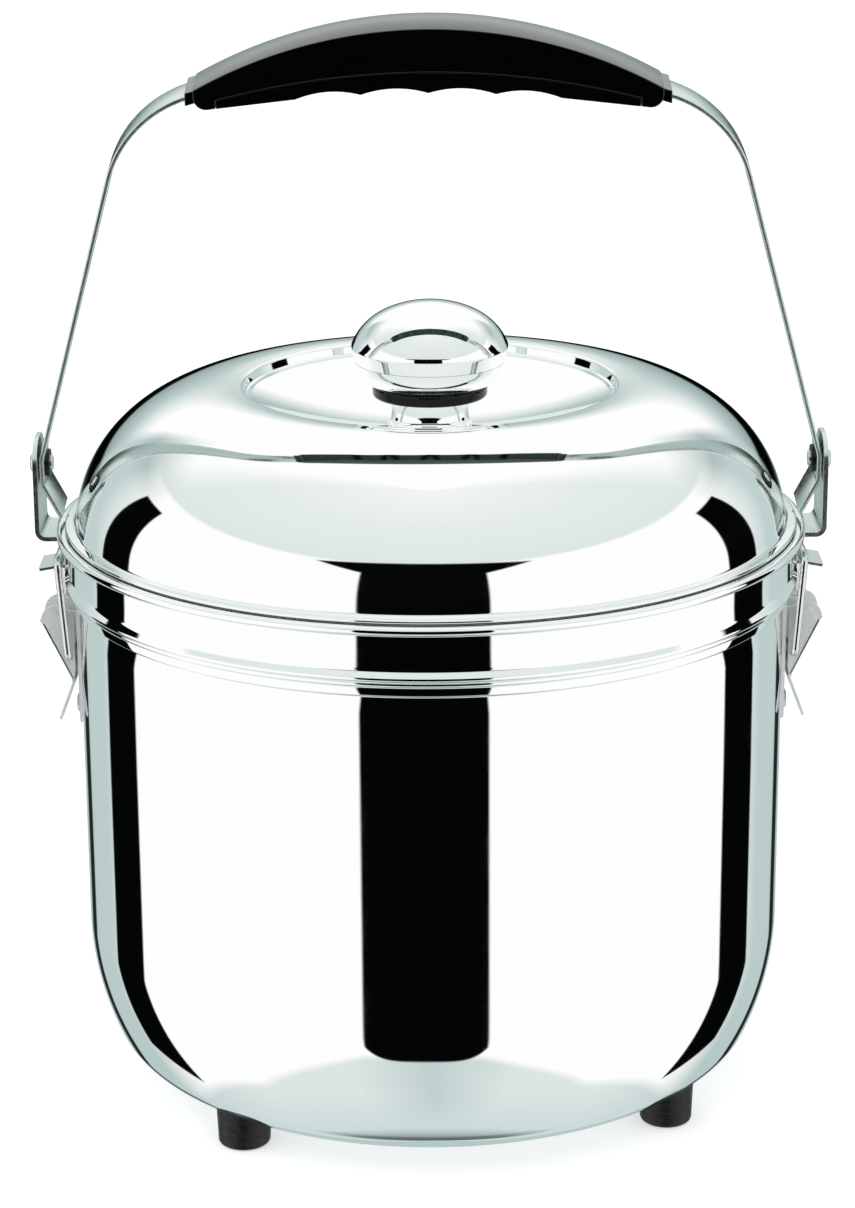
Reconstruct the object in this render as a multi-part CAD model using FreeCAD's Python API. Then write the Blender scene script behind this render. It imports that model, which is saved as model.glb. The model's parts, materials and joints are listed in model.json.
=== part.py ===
import FreeCAD
import Part
import math
import os

Vector = FreeCAD.Vector

os.makedirs("parts", exist_ok=True)

# Millimetres. +Z is up, the origin is on the table under the vessel's axis.
# The latches and the bail's ears stand on the left (-X) and right (+X) sides, the front is -Y.
UP = Vector(0, 0, 1)
OUT = Vector(1, 0, 0)
ACROSS = Vector(0, 1, 0)
CENTRE = Vector(0, 0, 0)
TINY = 1e-6

# Clearances
PIN_FIT = 0.05
RUN_GAP = 0.3
FOAM_GAP = 0.3
SEAT_GAP = 0.1
CUT_PAST = 5.0

# Outer vessel
VESSEL_SHEET = 0.5
WALL_R = 116.7
BASE_Z = 8.6
BASE_CORNER_R = 14.5
TAPER_R = 90.6
TAPER_DEG = 24.0
CREASE_Z = 165.7
CREASE_RISE = 0.5
BAND_OUT = 1.3
BAND_H = 3.0
BAND_EDGE_R = 0.9
SHELL_LIP_W = 8.0

# Vessel liner with its rim bead
LINER_SHEET = 0.5
LINER_BACK = 9.7
LINER_FLOOR_Z = 20.0
LINER_CORNER_R = 18.0
BEAD_R = 1.0
BEAD_OUT = 0.7

# Feet, one under each quarter of the base
FOOT_PAST_FLAT = 2.4
FOOT_TURN_DEG = 6.0
FOOT_FLOOR_R = 8.4
FOOT_TOP_R = 10.0
FOOT_EDGE_R = 1.6
FOOT_BLANK_H = 26.0
FOOT_BORE_R = 4.2
FOOT_BORE_H = 4.4
FOOT_SCREW_R = 2.0
FOOT_HEAD_R = 3.7
FOOT_HEAD_H = 2.4
FOOT_HEAD_EDGE_R = 0.8
FOOT_NUT_AF = 7.0
FOOT_NUT_H = 3.2
SCREW_PAST_NUT = 1.0

# Inner pot
POT_SHEET = 0.7
POT_WALL_IN = 3.0
POT_FLOOR_LIFT = 6.0
POT_CORNER_R = 25.0
POT_SHOULDER_R = 1.6
COLLAR_OVER_WALL = 2.9
COLLAR_BEAD_OUT = 1.4
COLLAR_BEAD_R = 0.9
COLLAR_BEAD_H = 1.3
COLLAR_FLARE_H = 1.6
COLLAR_H = 14.3
CURL_R = 1.5
CURL_REACH = 2.1
CURL_RISE = 2.0

# Catches on the collar
CATCH_SHEET = 1.2
CATCH_PLATE_HALF = 10.0
CATCH_PLATE_H = 9.6
CATCH_CORNER_R = 2.0
CATCH_TAB_HALF = 7.75
CATCH_FLAT_W = 2.9
CATCH_TAB_OUT = 9.6
CATCH_DROOP_DEG = 10.0
CATCH_TIP_R = 2.5

# Latch: base plate, lever and wire loop, drawn on the right side
PIVOT_OUT = 7.4
PIVOT_Z = 155.7
BASE_SHEET = 1.2
BASE_HALF = 7.75
BASE_LOW_Z = 119.7
BASE_TOP_Z = 163.0
BASE_PLATE_CORNER_R = 3.0
CHEEK_SHEET = 1.0
CHEEK_HALF = 5.7
CHEEK_TIP_R = 3.6
CHEEK_RISE = 2.9
CHEEK_DROP = 6.5
CHEEK_REACH = 9.5
BASE_RIVET_LOW_Z = 125.0
BASE_RIVET_PITCH = 16.0
BASE_RIVET_R = 1.6
BASE_RIVET_HEAD_R = 3.2
BASE_RIVET_HEAD_H = 1.1
BASE_RIVET_HEAD_EDGE_R = 0.75
BASE_RIVET_TAIL_R = 2.4
BASE_RIVET_TAIL_H = 2.0
BASE_RIVET_TAIL_EDGE_R = 0.6
PIN_R = 1.6
PIN_HEAD_R = 2.7
PIN_HEAD_H = 0.9
PIN_HEAD_GAP = 0.1
LEVER_HALF = 7.0
LEVER_SHEET = 1.0
LEVER_TOP_R = 5.5
LEVER_KNEE_IN = 10.0
LEVER_KNEE_DROP = 21.1
LEVER_KNEE_R = 4.0
LEVER_FLANGE_END = 17.7
LEVER_TAB_OUT = 5.5
LEVER_TAB_DROP = 14.4
LEVER_TAB_CORNER_R = 3.5
LOOP_HOLE_IN = 3.5
LOOP_HOLE_DROP = 12.7
LOOP_WIRE_R = 1.25
LOOP_BEND_R = 2.6
LOOP_LEG_GAP = 1.15
LOOP_END_HALF = 5.0
LOOP_BAR_OVER = 3.4

# Bail ears and their rivets
EAR_SHEET = 1.5
EAR_HALF = 12.0
EAR_FACE_OUT = 6.3
EAR_BEND_R = 3.5
EAR_TOP_ABOVE_PIVOT = 9.3
BAIL_PIVOT_ABOVE_RIM = 19.1
RIVET_R = 1.9
RIVET_HEAD_R = 3.1
RIVET_HEAD_H = 2.0
RIVET_HEAD_EDGE_R = 1.4
RIVET_TAIL_R = 2.6
RIVET_TAIL_H = 0.9
RIVET_TAIL_EDGE_R = 0.45
WASHER_R = 4.6
WASHER_T = 1.0

# Bail strip, drawn upright about its pivot: x across, s above the pivot
BAIL_LEAN = 8.0
STRIP_T = 1.5
STRIP_HALF = 8.0
TIP_DROP = 16.5
TIP_IN = 5.5
TIP_KNEE_DROP = 5.0
TIP_KNEE_R = 5.0
LEG_LEAN = 15.4
LEG_START = 4.0
LEG_START_R = 12.0
ARCH_TOP = 137.0
ARCH_R = 261.0
ARCH_PAST_GRIP = 2.0

# Grip on the bail's arch
GRIP_HALF_L = 73.0
GRIP_HALF_W = 10.0
GRIP_OVER_ARCH = 10.9
GRIP_END_OVER_ARCH = 2.2
GRIP_UNDER_ARCH = 10.0
GRIP_BELLY_R = 470.0
GRIP_END_LOW_R = 4.0
GROOVE_INNER_W = 21.0
GROOVE_OUTER_W = 20.3
GROOVE_RISE = 1.7
PARTING_BELOW = 1.9
INSERT_SHORT = 7.0
NUB_L = 2.6
NUB_WALL = 1.2
GRIP_SCREW_X = 31.0
GRIP_SCREW_R = 1.2
GRIP_SCREW_HEAD_R = 2.4
GRIP_SCREW_HEAD_H = 1.6
GRIP_SCREW_DEEP = 2.4
GRIP_SCREW_WALL = 2.6
GRIP_SCREW_SHORT = 1.3
TONGUE_STEP = 2.0
TONGUE_OVERLAP = 1.0

# Lid
LID_SHEET = 0.6
PAN_SHEET = 0.4
LID_FLANGE_OVER_COLLAR = 0.6
LID_FLANGE_T = 1.2
LID_HEM = 0.8
LID_HEM_EDGE_R = 0.54
LID_WALL_IN = 3.4
LID_FILLET_R = 1.2
DOME_R = 46.4
DOME_CENTRE_BELOW_FLANGE = 3.4
DOME_PAST_WALL = 0.1
DOME_START_DEG = 8.0
DOME_END_DEG = 47.5
CROWN_R = 51.4
CROWN_END_DEG = 95.0
LIP_IN = 1.4
LIP_DROP = 2.9
LIP_R = 0.9
LIP_SLOPE_W = 1.0
LEDGE_W = 1.0
STEP_DROP = 0.9
STEP_IN = 0.6
DISH_R = 171.0
PAN_BACK = 1.2
PAN_DEPTH = 10.9
PAN_CORNER_R = 4.0
SEAL_LOW = 3.9
SEAL_TOP = 0.6
SEAL_SIDE_GAP = 0.5
SEAL_ROOT_H = 1.2
SEAL_ROOT_EDGE_R = 0.6
SEAL_LIP_H = 1.2
SEAL_LIP_EDGE_R = 0.3

# Knob
STUD_R = 3.0
STUD_HOLE_R = 3.1
STUD_BELOW_NUT = 2.4
STUD_FLANGE_R = 8.0
STUD_FLANGE_T = 1.5
STEM_R = 13.9
STEM_TOP_ABOVE_DISH = 9.6
KNOB_RING_R = 18.8
KNOB_RING_H = 4.0
KNOB_RING_EDGE_R = 1.2
KNOB_SHEET = 0.8
KNOB_DISH_R = 18.6
KNOB_DISH_BULGE = 1.6
KNOB_SEAM_GAP = 0.1
CAP_EDGE_R = 10.0
CAP_R = 25.6
CAP_EDGE_H = 12.1
CAP_SEAM_DEG = -32.0
CAP_CROWN_R = 36.0
WASHER_M6_R = 8.0
WASHER_M6_T = 1.5
NUT_AF = 10.0
NUT_H = 5.0
NUT_POCKET_GAP = 1.5

# Places that follow from the sizes above
FLAT_R = WALL_R - TAPER_R + (TAPER_R - BASE_CORNER_R) * math.cos(math.radians(TAPER_DEG))
FOOT_CIRCLE_R = FLAT_R + FOOT_PAST_FLAT
TAPER_CENTRE_Z = BASE_Z + BASE_CORNER_R + (TAPER_R - BASE_CORNER_R) * math.sin(math.radians(TAPER_DEG))
BAND_R = WALL_R + BAND_OUT
BAND_TOP = CREASE_Z + CREASE_RISE + BAND_H
LINER_R = WALL_R - LINER_BACK
BEAD_CENTRE_R = BAND_R + BEAD_OUT
BEAD_TOP = BAND_TOP + 2 * BEAD_R
SHELF_Z = BEAD_TOP + SEAT_GAP
POT_R = LINER_R - POT_WALL_IN
POT_FLOOR_Z = LINER_FLOOR_Z + POT_FLOOR_LIFT
COLLAR_R = WALL_R + COLLAR_OVER_WALL
COLLAR_FOOT_R = COLLAR_R + COLLAR_BEAD_OUT
COLLAR_WALL_Z = SHELF_Z + COLLAR_BEAD_H + COLLAR_FLARE_H
COLLAR_TOP_Z = SHELF_Z + COLLAR_H
RIM_CENTRE_Z = COLLAR_TOP_Z + CURL_RISE
RIM_CENTRE_R = COLLAR_R + CURL_REACH
RIM_TOP_Z = RIM_CENTRE_Z + CURL_R
PIVOT_R = WALL_R + PIVOT_OUT
LOOP_HOLE_R = PIVOT_R - LOOP_HOLE_IN
LOOP_HOLE_Z = PIVOT_Z - LOOP_HOLE_DROP
BASE_FACE_R = WALL_R + BASE_SHEET
BASE_RIVET_ZS = (BASE_RIVET_LOW_Z, BASE_RIVET_LOW_Z + BASE_RIVET_PITCH)
PIN_HEAD_FROM = LEVER_HALF + PIN_HEAD_GAP
PIN_HALF = PIN_HEAD_FROM + PIN_HEAD_H
LOOP_LEG_HALF = LEVER_HALF + LOOP_LEG_GAP + LOOP_WIRE_R
CATCH_PLATE_Z = COLLAR_WALL_Z
CATCH_TOP_Z = CATCH_PLATE_Z + CATCH_SHEET
LOOP_BAR_R = COLLAR_R + LOOP_BAR_OVER
LOOP_BAR_Z = CATCH_TOP_Z + RUN_GAP + LOOP_WIRE_R
EAR_FACE_X = RIM_CENTRE_R + CURL_R + EAR_FACE_OUT
EAR_TOP_Z = RIM_CENTRE_Z - CURL_R
BAIL_PIVOT_Z = RIM_TOP_Z + BAIL_PIVOT_ABOVE_RIM
ARCH_HALF = GRIP_HALF_L + ARCH_PAST_GRIP
GRIP_CREST = ARCH_TOP + GRIP_OVER_ARCH
GRIP_CREST_DROP = GRIP_OVER_ARCH - GRIP_END_OVER_ARCH + ARCH_R - math.sqrt(ARCH_R ** 2 - GRIP_HALF_L ** 2)
GRIP_CREST_R = (GRIP_HALF_L ** 2 + GRIP_CREST_DROP ** 2) / (2 * GRIP_CREST_DROP)
GRIP_BELLY = ARCH_TOP - GRIP_UNDER_ARCH
INSERT_HALF_L = GRIP_HALF_L - INSERT_SHORT
GROOVE_EDGES = (0.0, GROOVE_INNER_W, GROOVE_INNER_W + GROOVE_OUTER_W)
STRIP_FACE_X = EAR_FACE_X - EAR_SHEET - RUN_GAP
WASHER_FACE_X = STRIP_FACE_X - STRIP_T - RUN_GAP
LID_FLANGE_R = COLLAR_R + LID_FLANGE_OVER_COLLAR
LID_WALL_R = LID_FLANGE_R - LID_WALL_IN
LID_FLANGE_Z = RIM_TOP_Z + RUN_GAP
LID_FLANGE_TOP = LID_FLANGE_Z + LID_FLANGE_T
DOME_CENTRE_R = LID_WALL_R + DOME_PAST_WALL - DOME_R
DOME_CENTRE_Z = LID_FLANGE_TOP - DOME_CENTRE_BELOW_FLANGE
PAN_R = LID_WALL_R - PAN_BACK
PAN_FLOOR_Z = LID_FLANGE_Z - PAN_DEPTH
SEAL_R = COLLAR_R - POT_SHEET - SEAL_SIDE_GAP


def polar(u, v, radius, degrees):
    """The point at a distance and angle from (u, v)."""
    return (u + radius * math.cos(math.radians(degrees)), v + radius * math.sin(math.radians(degrees)))


def turning_plane(r, z):
    """A point of an outline that is turned about the vessel's axis, or pulled across it."""
    return Vector(r, 0, z)


def facing_plane(y, z):
    """A point of an outline seen from the side, that is pulled along X."""
    return Vector(0, y, z)


def flat_plane(x, y):
    """A point of an outline seen from above, that is pulled up."""
    return Vector(x, y, 0)


def outward(shape):
    """The same solid with its faces looking outwards."""
    if shape.Volume < 0:
        return shape.reversed()
    return shape


class Outline:
    """A chain of lines and arcs in one plane."""

    def __init__(self, u, v, plane=turning_plane):
        self.plane = plane
        self.first = (u, v)
        self.pen = (u, v)
        self.edges = []

    def line(self, u, v):
        if math.dist(self.pen, (u, v)) > TINY:
            self.edges.append(Part.LineSegment(self.plane(*self.pen), self.plane(u, v)).toShape())
            self.pen = (u, v)
        return self

    def through(self, middle, end):
        """An arc from the pen through the middle point to the end point."""
        points = [self.plane(*self.pen), self.plane(*middle), self.plane(*end)]
        self.edges.append(Part.Arc(*points).toShape())
        self.pen = end
        return self

    def arc(self, u, v, radius, start, end):
        """A line to the arc's start, then the arc about (u, v), with angles in degrees."""
        self.line(*polar(u, v, radius, start))
        return self.through(polar(u, v, radius, (start + end) / 2), polar(u, v, radius, end))

    def corner(self, u, v, radius, after_u, after_v):
        """A line towards (u, v), rounded off there towards the next point."""
        back = unit(self.pen[0] - u, self.pen[1] - v)
        ahead = unit(after_u - u, after_v - v)
        half = math.acos(max(-1.0, min(1.0, back[0] * ahead[0] + back[1] * ahead[1]))) / 2
        reach = radius / math.tan(half)
        middle = unit(back[0] + ahead[0], back[1] + ahead[1])
        deep = radius / math.sin(half) - radius
        self.line(u + back[0] * reach, v + back[1] * reach)
        return self.through((u + middle[0] * deep, v + middle[1] * deep),
                            (u + ahead[0] * reach, v + ahead[1] * reach))

    def wire(self):
        return Part.Wire(self.edges)

    def face(self):
        self.line(*self.first)
        return Part.Face(Part.Wire(self.edges))

    def turn(self):
        """The closed outline turned about the vessel's axis."""
        return outward(self.face().revolve(CENTRE, UP, 360))

    def pull(self, start, end):
        """The closed outline pulled across its own plane, from one distance to another."""
        face = self.face()
        across = {turning_plane: ACROSS, facing_plane: OUT, flat_plane: UP}[self.plane]
        face.translate(across * start)
        return outward(face.extrude(across * (end - start)))

    def sheet(self, thickness):
        """The face of a sheet whose one side is this open outline."""
        return self.wire().makeOffset2D(thickness, 2, True, True)


def unit(u, v):
    length = math.hypot(u, v)
    return (u / length, v / length)


def rounded_outline(points, plane=turning_plane):
    """A closed outline through the points; a third number rounds that corner."""
    first = points[0]
    if len(first) > 2:
        middle = ((points[-1][0] + first[0]) / 2, (points[-1][1] + first[1]) / 2)
        points = [middle] + list(points)
    outline = Outline(points[0][0], points[0][1], plane)
    for index in range(1, len(points)):
        point = points[index]
        after = points[(index + 1) % len(points)]
        if len(point) > 2:
            outline.corner(point[0], point[1], point[2], after[0], after[1])
        else:
            outline.line(point[0], point[1])
    return outline


def turned_sheet(outline, thickness):
    """A sheet of revolution from an open outline of one of its sides."""
    return outward(outline.sheet(thickness).revolve(CENTRE, UP, 360))


def rod(radius, start, along, length):
    return Part.makeCylinder(radius, length, start, along)


def fused(shapes):
    """One solid from overlapping ones, with its seams cleaned."""
    return shapes[0].fuse(shapes[1:]).removeSplitter()


def mirrored(shape):
    """The left-hand copy of a piece that was drawn on the right."""
    return shape.mirror(CENTRE, OUT)


def hex_prism(across_flats, z0, height):
    points = []
    for step in range(6):
        points.append(polar(0, 0, across_flats / math.sqrt(3), 60 * step))
    return rounded_outline(points, flat_plane).pull(z0, z0 + height)


def keep(name, shape):
    """Write one named piece, as one solid or as a group of solids."""
    solids = shape.Solids
    if len(solids) == 1:
        shape = solids[0]
    else:
        shape = Part.makeCompound(solids)
    shape.exportStep("parts/" + name + ".step")


def vessel_line(inset):
    """The vessel's side from the middle of its base up to the crease, taken in by an inset."""
    line = Outline(0, BASE_Z + inset)
    line.line(FLAT_R, BASE_Z + inset)
    line.arc(FLAT_R, BASE_Z + BASE_CORNER_R, BASE_CORNER_R - inset, -90, -TAPER_DEG)
    line.arc(WALL_R - TAPER_R, TAPER_CENTRE_Z, TAPER_R - inset, -TAPER_DEG, 0)
    return line


def vessel_block(inset, top_z):
    """The space inside the vessel's side, as a solid."""
    return vessel_line(inset).line(WALL_R - inset, top_z).line(0, top_z).turn()


def foot_places():
    """The feet's angles from +X, by name."""
    places = {}
    for step, name in enumerate(("rear_right", "rear_left", "front_left", "front_right")):
        places[name] = 45 + 90 * step + FOOT_TURN_DEG
    return places


def at_feet(shape):
    """Copies of one piece, drawn on the axis, at every foot."""
    copies = []
    for degrees in foot_places().values():
        copies.append(at_foot(shape, degrees))
    return Part.makeCompound(copies)


def at_foot(shape, degrees):
    copy = shape.copy()
    x, y = polar(0, 0, FOOT_CIRCLE_R, degrees)
    copy.translate(Vector(x, y, 0))
    return copy


def foot_screw():
    head_z = FOOT_BORE_H - FOOT_HEAD_H
    nut_top = BASE_Z + VESSEL_SHEET + SEAT_GAP + FOOT_NUT_H
    head = rounded_outline([(0, head_z), (FOOT_HEAD_R, head_z, FOOT_HEAD_EDGE_R),
                            (FOOT_HEAD_R, FOOT_BORE_H), (0, FOOT_BORE_H)]).turn()
    shank = rod(FOOT_SCREW_R, Vector(0, 0, head_z), UP, nut_top + SCREW_PAST_NUT - head_z)
    return head.fuse(shank).removeSplitter()


def foot_nut():
    nut = hex_prism(FOOT_NUT_AF, nut_floor_z(), FOOT_NUT_H)
    return nut.cut(rod(FOOT_SCREW_R + PIN_FIT, CENTRE, UP, FOOT_BLANK_H))


def nut_floor_z():
    """The inner face of the base where the nuts stand, on its rising corner."""
    past_flat = FOOT_CIRCLE_R + FOOT_NUT_AF / math.sqrt(3) - FLAT_R
    inner_r = BASE_CORNER_R - VESSEL_SHEET
    return BASE_Z + BASE_CORNER_R - math.sqrt(inner_r ** 2 - max(0.0, past_flat) ** 2) + SEAT_GAP


def foot(degrees):
    """A rubber foot whose top follows the vessel's base."""
    blank = rounded_outline([(0, 0), (FOOT_FLOOR_R, 0, FOOT_EDGE_R), (FOOT_TOP_R, FOOT_BLANK_H),
                             (0, FOOT_BLANK_H)]).turn()
    blank = blank.cut(rod(FOOT_BORE_R, Vector(0, 0, -CUT_PAST), UP, FOOT_BORE_H + CUT_PAST))
    blank = blank.cut(rod(FOOT_SCREW_R + PIN_FIT, CENTRE, UP, FOOT_BLANK_H))
    return at_foot(blank, degrees).cut(vessel_block(0, CREASE_Z))


def outer_shell():
    line = vessel_line(0)
    line.line(WALL_R, CREASE_Z)
    line.line(BAND_R, CREASE_Z + CREASE_RISE)
    line.corner(BAND_R, BAND_TOP, BAND_EDGE_R, BAND_R - SHELL_LIP_W, BAND_TOP)
    line.line(BAND_R - SHELL_LIP_W, BAND_TOP)
    shell = turned_sheet(line, VESSEL_SHEET)
    shell = shell.cut(at_feet(rod(FOOT_SCREW_R + PIN_FIT, CENTRE, UP, FOOT_BLANK_H)))
    return shell.cut(both_sides(rivet_bores(BASE_RIVET_R + PIN_FIT)))


def rivet_bores(radius):
    """Rods on the axes of the latch base's rivets, on the right."""
    rods = []
    for z in BASE_RIVET_ZS:
        rods.append(rod(radius, Vector(WALL_R - CUT_PAST, 0, z), OUT, 2 * CUT_PAST))
    return Part.makeCompound(rods)


def both_sides(shape):
    return Part.makeCompound([shape, mirrored(shape)])


def vessel_insulation():
    inset = VESSEL_SHEET + FOAM_GAP
    foam = vessel_block(inset, BAND_TOP - inset)
    radius = LINER_R + FOAM_GAP
    floor = LINER_FLOOR_Z - FOAM_GAP
    liner_space = rounded_outline([(0, floor), (radius, floor, LINER_CORNER_R + FOAM_GAP),
                                   (radius, BAND_TOP), (0, BAND_TOP)]).turn()
    foam = foam.cut(liner_space)
    pocket_top = nut_floor_z() + FOOT_NUT_H + SCREW_PAST_NUT + NUT_POCKET_GAP
    foam = foam.cut(at_feet(rod(FOOT_NUT_AF, CENTRE, UP, pocket_top)))
    return foam.cut(both_sides(rivet_bores(BASE_RIVET_TAIL_R + FOAM_GAP)))


def vessel_liner():
    line = Outline(0, LINER_FLOOR_Z)
    line.corner(LINER_R, LINER_FLOOR_Z, LINER_CORNER_R, LINER_R, BAND_TOP)
    line.corner(LINER_R, BAND_TOP, BEAD_R, BEAD_CENTRE_R, BAND_TOP)
    line.line(BEAD_CENTRE_R, BAND_TOP)
    bead = Part.makeTorus(BEAD_CENTRE_R, BEAD_R, Vector(0, 0, BAND_TOP + BEAD_R))
    return fused([turned_sheet(line, LINER_SHEET), bead])


def inner_pot():
    """The pot with its shelf, bead, upright collar and rolled rim."""
    bead_z = SHELF_Z + COLLAR_BEAD_H
    line = Outline(0, POT_FLOOR_Z)
    line.corner(POT_R, POT_FLOOR_Z, POT_CORNER_R, POT_R, SHELF_Z)
    line.corner(POT_R, SHELF_Z, POT_SHOULDER_R, COLLAR_R, SHELF_Z)
    line.corner(COLLAR_FOOT_R, SHELF_Z, COLLAR_BEAD_R, COLLAR_FOOT_R, bead_z)
    line.line(COLLAR_FOOT_R, bead_z)
    line.line(COLLAR_R, bead_z + COLLAR_FLARE_H)
    line.line(COLLAR_R, COLLAR_TOP_Z)
    inner_r = COLLAR_R - POT_SHEET
    rim = Outline(inner_r, COLLAR_TOP_Z - CURL_R)
    rim.arc(inner_r + CURL_R, RIM_CENTRE_Z, CURL_R, 180, 90)
    rim.arc(RIM_CENTRE_R, RIM_CENTRE_Z, CURL_R, 90, -90)
    rim.line(COLLAR_R, RIM_CENTRE_Z - CURL_R)
    rim.line(COLLAR_R, COLLAR_TOP_Z - CURL_R)
    return fused([turned_sheet(line, POT_SHEET), rim.turn()])


def collar_plate(inner_r, thickness, half, low_z, top_z, corner_r):
    """A plate with rounded corners that lies against a round wall on the right."""
    ring = rounded_outline([(inner_r, low_z), (inner_r + thickness, low_z),
                            (inner_r + thickness, top_z), (inner_r, top_z)]).turn()
    front = rounded_outline([(-half, low_z, corner_r), (half, low_z, corner_r),
                             (half, top_z, corner_r), (-half, top_z, corner_r)], facing_plane)
    return ring.common(front.pull(0, inner_r + 2 * thickness))


def catch():
    """The hook that the wire loop pulls on: a plate on the collar and a drooping tab."""
    plate = collar_plate(COLLAR_R, CATCH_SHEET, CATCH_PLATE_HALF, CATCH_PLATE_Z,
                         CATCH_PLATE_Z + CATCH_PLATE_H, CATCH_CORNER_R)
    droop = math.tan(math.radians(CATCH_DROOP_DEG)) * (CATCH_TAB_OUT - CATCH_FLAT_W)
    tip_x = COLLAR_R + CATCH_TAB_OUT
    tab = rounded_outline([(COLLAR_R, CATCH_TOP_Z), (COLLAR_R + CATCH_FLAT_W, CATCH_TOP_Z),
                           (tip_x, CATCH_TOP_Z - droop), (tip_x, CATCH_PLATE_Z - droop),
                           (COLLAR_R + CATCH_FLAT_W, CATCH_PLATE_Z), (COLLAR_R, CATCH_PLATE_Z)])
    tab = tab.pull(-CATCH_TAB_HALF, CATCH_TAB_HALF)
    above = rounded_outline([(0, -CATCH_TAB_HALF), (tip_x, -CATCH_TAB_HALF, CATCH_TIP_R),
                             (tip_x, CATCH_TAB_HALF, CATCH_TIP_R), (0, CATCH_TAB_HALF)], flat_plane)
    tab = tab.common(above.pull(0, RIM_TOP_Z))
    tab = tab.cut(rod(COLLAR_R, CENTRE, UP, RIM_TOP_Z))
    return fused([plate, tab])


def ear():
    """An L-shaped strip that stands out from the collar under the rim."""
    pivot_top = BAIL_PIVOT_Z + EAR_TOP_ABOVE_PIVOT
    line = Outline(COLLAR_R - CUT_PAST, EAR_TOP_Z - EAR_SHEET)
    line.corner(EAR_FACE_X, EAR_TOP_Z - EAR_SHEET, EAR_BEND_R, EAR_FACE_X, pivot_top)
    line.line(EAR_FACE_X, pivot_top)
    strip = pulled_sheet(line, EAR_SHEET, EAR_HALF)
    front = rounded_outline([(-EAR_HALF, 0), (EAR_HALF, 0), (EAR_HALF, pivot_top, EAR_TOP_ABOVE_PIVOT),
                             (-EAR_HALF, pivot_top, EAR_TOP_ABOVE_PIVOT)], facing_plane)
    strip = strip.common(front.pull(0, EAR_FACE_X))
    strip = strip.cut(rod(COLLAR_R, CENTRE, UP, RIM_TOP_Z))
    return strip.cut(rod(RIVET_R + PIN_FIT, Vector(COLLAR_R, 0, BAIL_PIVOT_Z), OUT, EAR_FACE_X))


def pulled_sheet(outline, thickness, half):
    """A bent strip: an open outline given a thickness and pulled to both sides."""
    face = outline.sheet(thickness)
    face.translate(ACROSS * -half)
    return outward(face.extrude(ACROSS * (2 * half)))


def bail_rivet():
    """The rivet the bail swings on, from its outer head to the tail inside the washer."""
    tail_x = WASHER_FACE_X - WASHER_T - RIVET_TAIL_H
    head_x = EAR_FACE_X + RIVET_HEAD_H
    outline = rounded_outline([(0, tail_x), (RIVET_TAIL_R, tail_x, RIVET_TAIL_EDGE_R),
                               (RIVET_TAIL_R, tail_x + RIVET_TAIL_H), (RIVET_R, tail_x + RIVET_TAIL_H),
                               (RIVET_R, EAR_FACE_X), (RIVET_HEAD_R, EAR_FACE_X),
                               (RIVET_HEAD_R, head_x, RIVET_HEAD_EDGE_R), (0, head_x)])
    return laid_outwards(outline.turn(), BAIL_PIVOT_Z)


def laid_outwards(shape, z):
    """Turn a piece drawn along +Z so that it points to +X at a height."""
    shape.rotate(CENTRE, ACROSS, 90)
    shape.translate(Vector(0, 0, z))
    return shape


def pivot_washer():
    start = Vector(WASHER_FACE_X - WASHER_T, 0, BAIL_PIVOT_Z)
    return rod(WASHER_R, start, OUT, WASHER_T).cut(rod(RIVET_R + PIN_FIT, start, OUT, WASHER_T))


def latch_base():
    """The curved plate on the vessel's wall and the two cheeks that carry the lever."""
    plate = collar_plate(WALL_R, BASE_SHEET, BASE_HALF, BASE_LOW_Z, BASE_TOP_Z, BASE_PLATE_CORNER_R)
    web = unit(-LEVER_KNEE_IN, -LEVER_KNEE_DROP)
    low = polar(PIVOT_R, PIVOT_Z, CHEEK_TIP_R, web_normal_degrees())
    low = (low[0] + web[0] * CHEEK_REACH, low[1] + web[1] * CHEEK_REACH)
    root_x = WALL_R + BASE_SHEET / 2
    top = (root_x, PIVOT_Z + CHEEK_RISE)
    outline = Outline(top[0], top[1])
    outline.arc(PIVOT_R, PIVOT_Z, CHEEK_TIP_R, tangent_degrees(top), web_normal_degrees())
    outline.line(low[0], low[1])
    outline.line(root_x, PIVOT_Z - CHEEK_DROP)
    cheeks = []
    for start in (CHEEK_HALF - CHEEK_SHEET, -CHEEK_HALF):
        cheeks.append(outline.pull(start, start + CHEEK_SHEET))
    base = fused([plate] + cheeks)
    base = base.cut(pin_bore(PIN_R))
    return base.cut(rivet_bores(BASE_RIVET_R + PIN_FIT))


def web_normal_degrees():
    """The direction from the lever's pivot straight to its web."""
    return math.degrees(math.atan2(-LEVER_KNEE_IN, LEVER_KNEE_DROP))


def tangent_degrees(point):
    """Where a line from the point touches the cheek's round tip, on its upper side."""
    away = math.dist(point, (PIVOT_R, PIVOT_Z))
    back = math.degrees(math.atan2(point[1] - PIVOT_Z, point[0] - PIVOT_R))
    return back - math.degrees(math.acos(CHEEK_TIP_R / away))


def pin_bore(radius):
    return rod(radius + PIN_FIT, Vector(PIVOT_R, -2 * LEVER_HALF, PIVOT_Z), ACROSS, 4 * LEVER_HALF)


def lever_pin():
    pin = rod(PIN_R, Vector(PIVOT_R, -PIN_HALF, PIVOT_Z), ACROSS, 2 * PIN_HALF)
    heads = []
    for start in (PIN_HEAD_FROM, -PIN_HALF):
        heads.append(rod(PIN_HEAD_R, Vector(PIVOT_R, start, PIVOT_Z), ACROSS, PIN_HEAD_H))
    return fused([pin] + heads)


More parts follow.
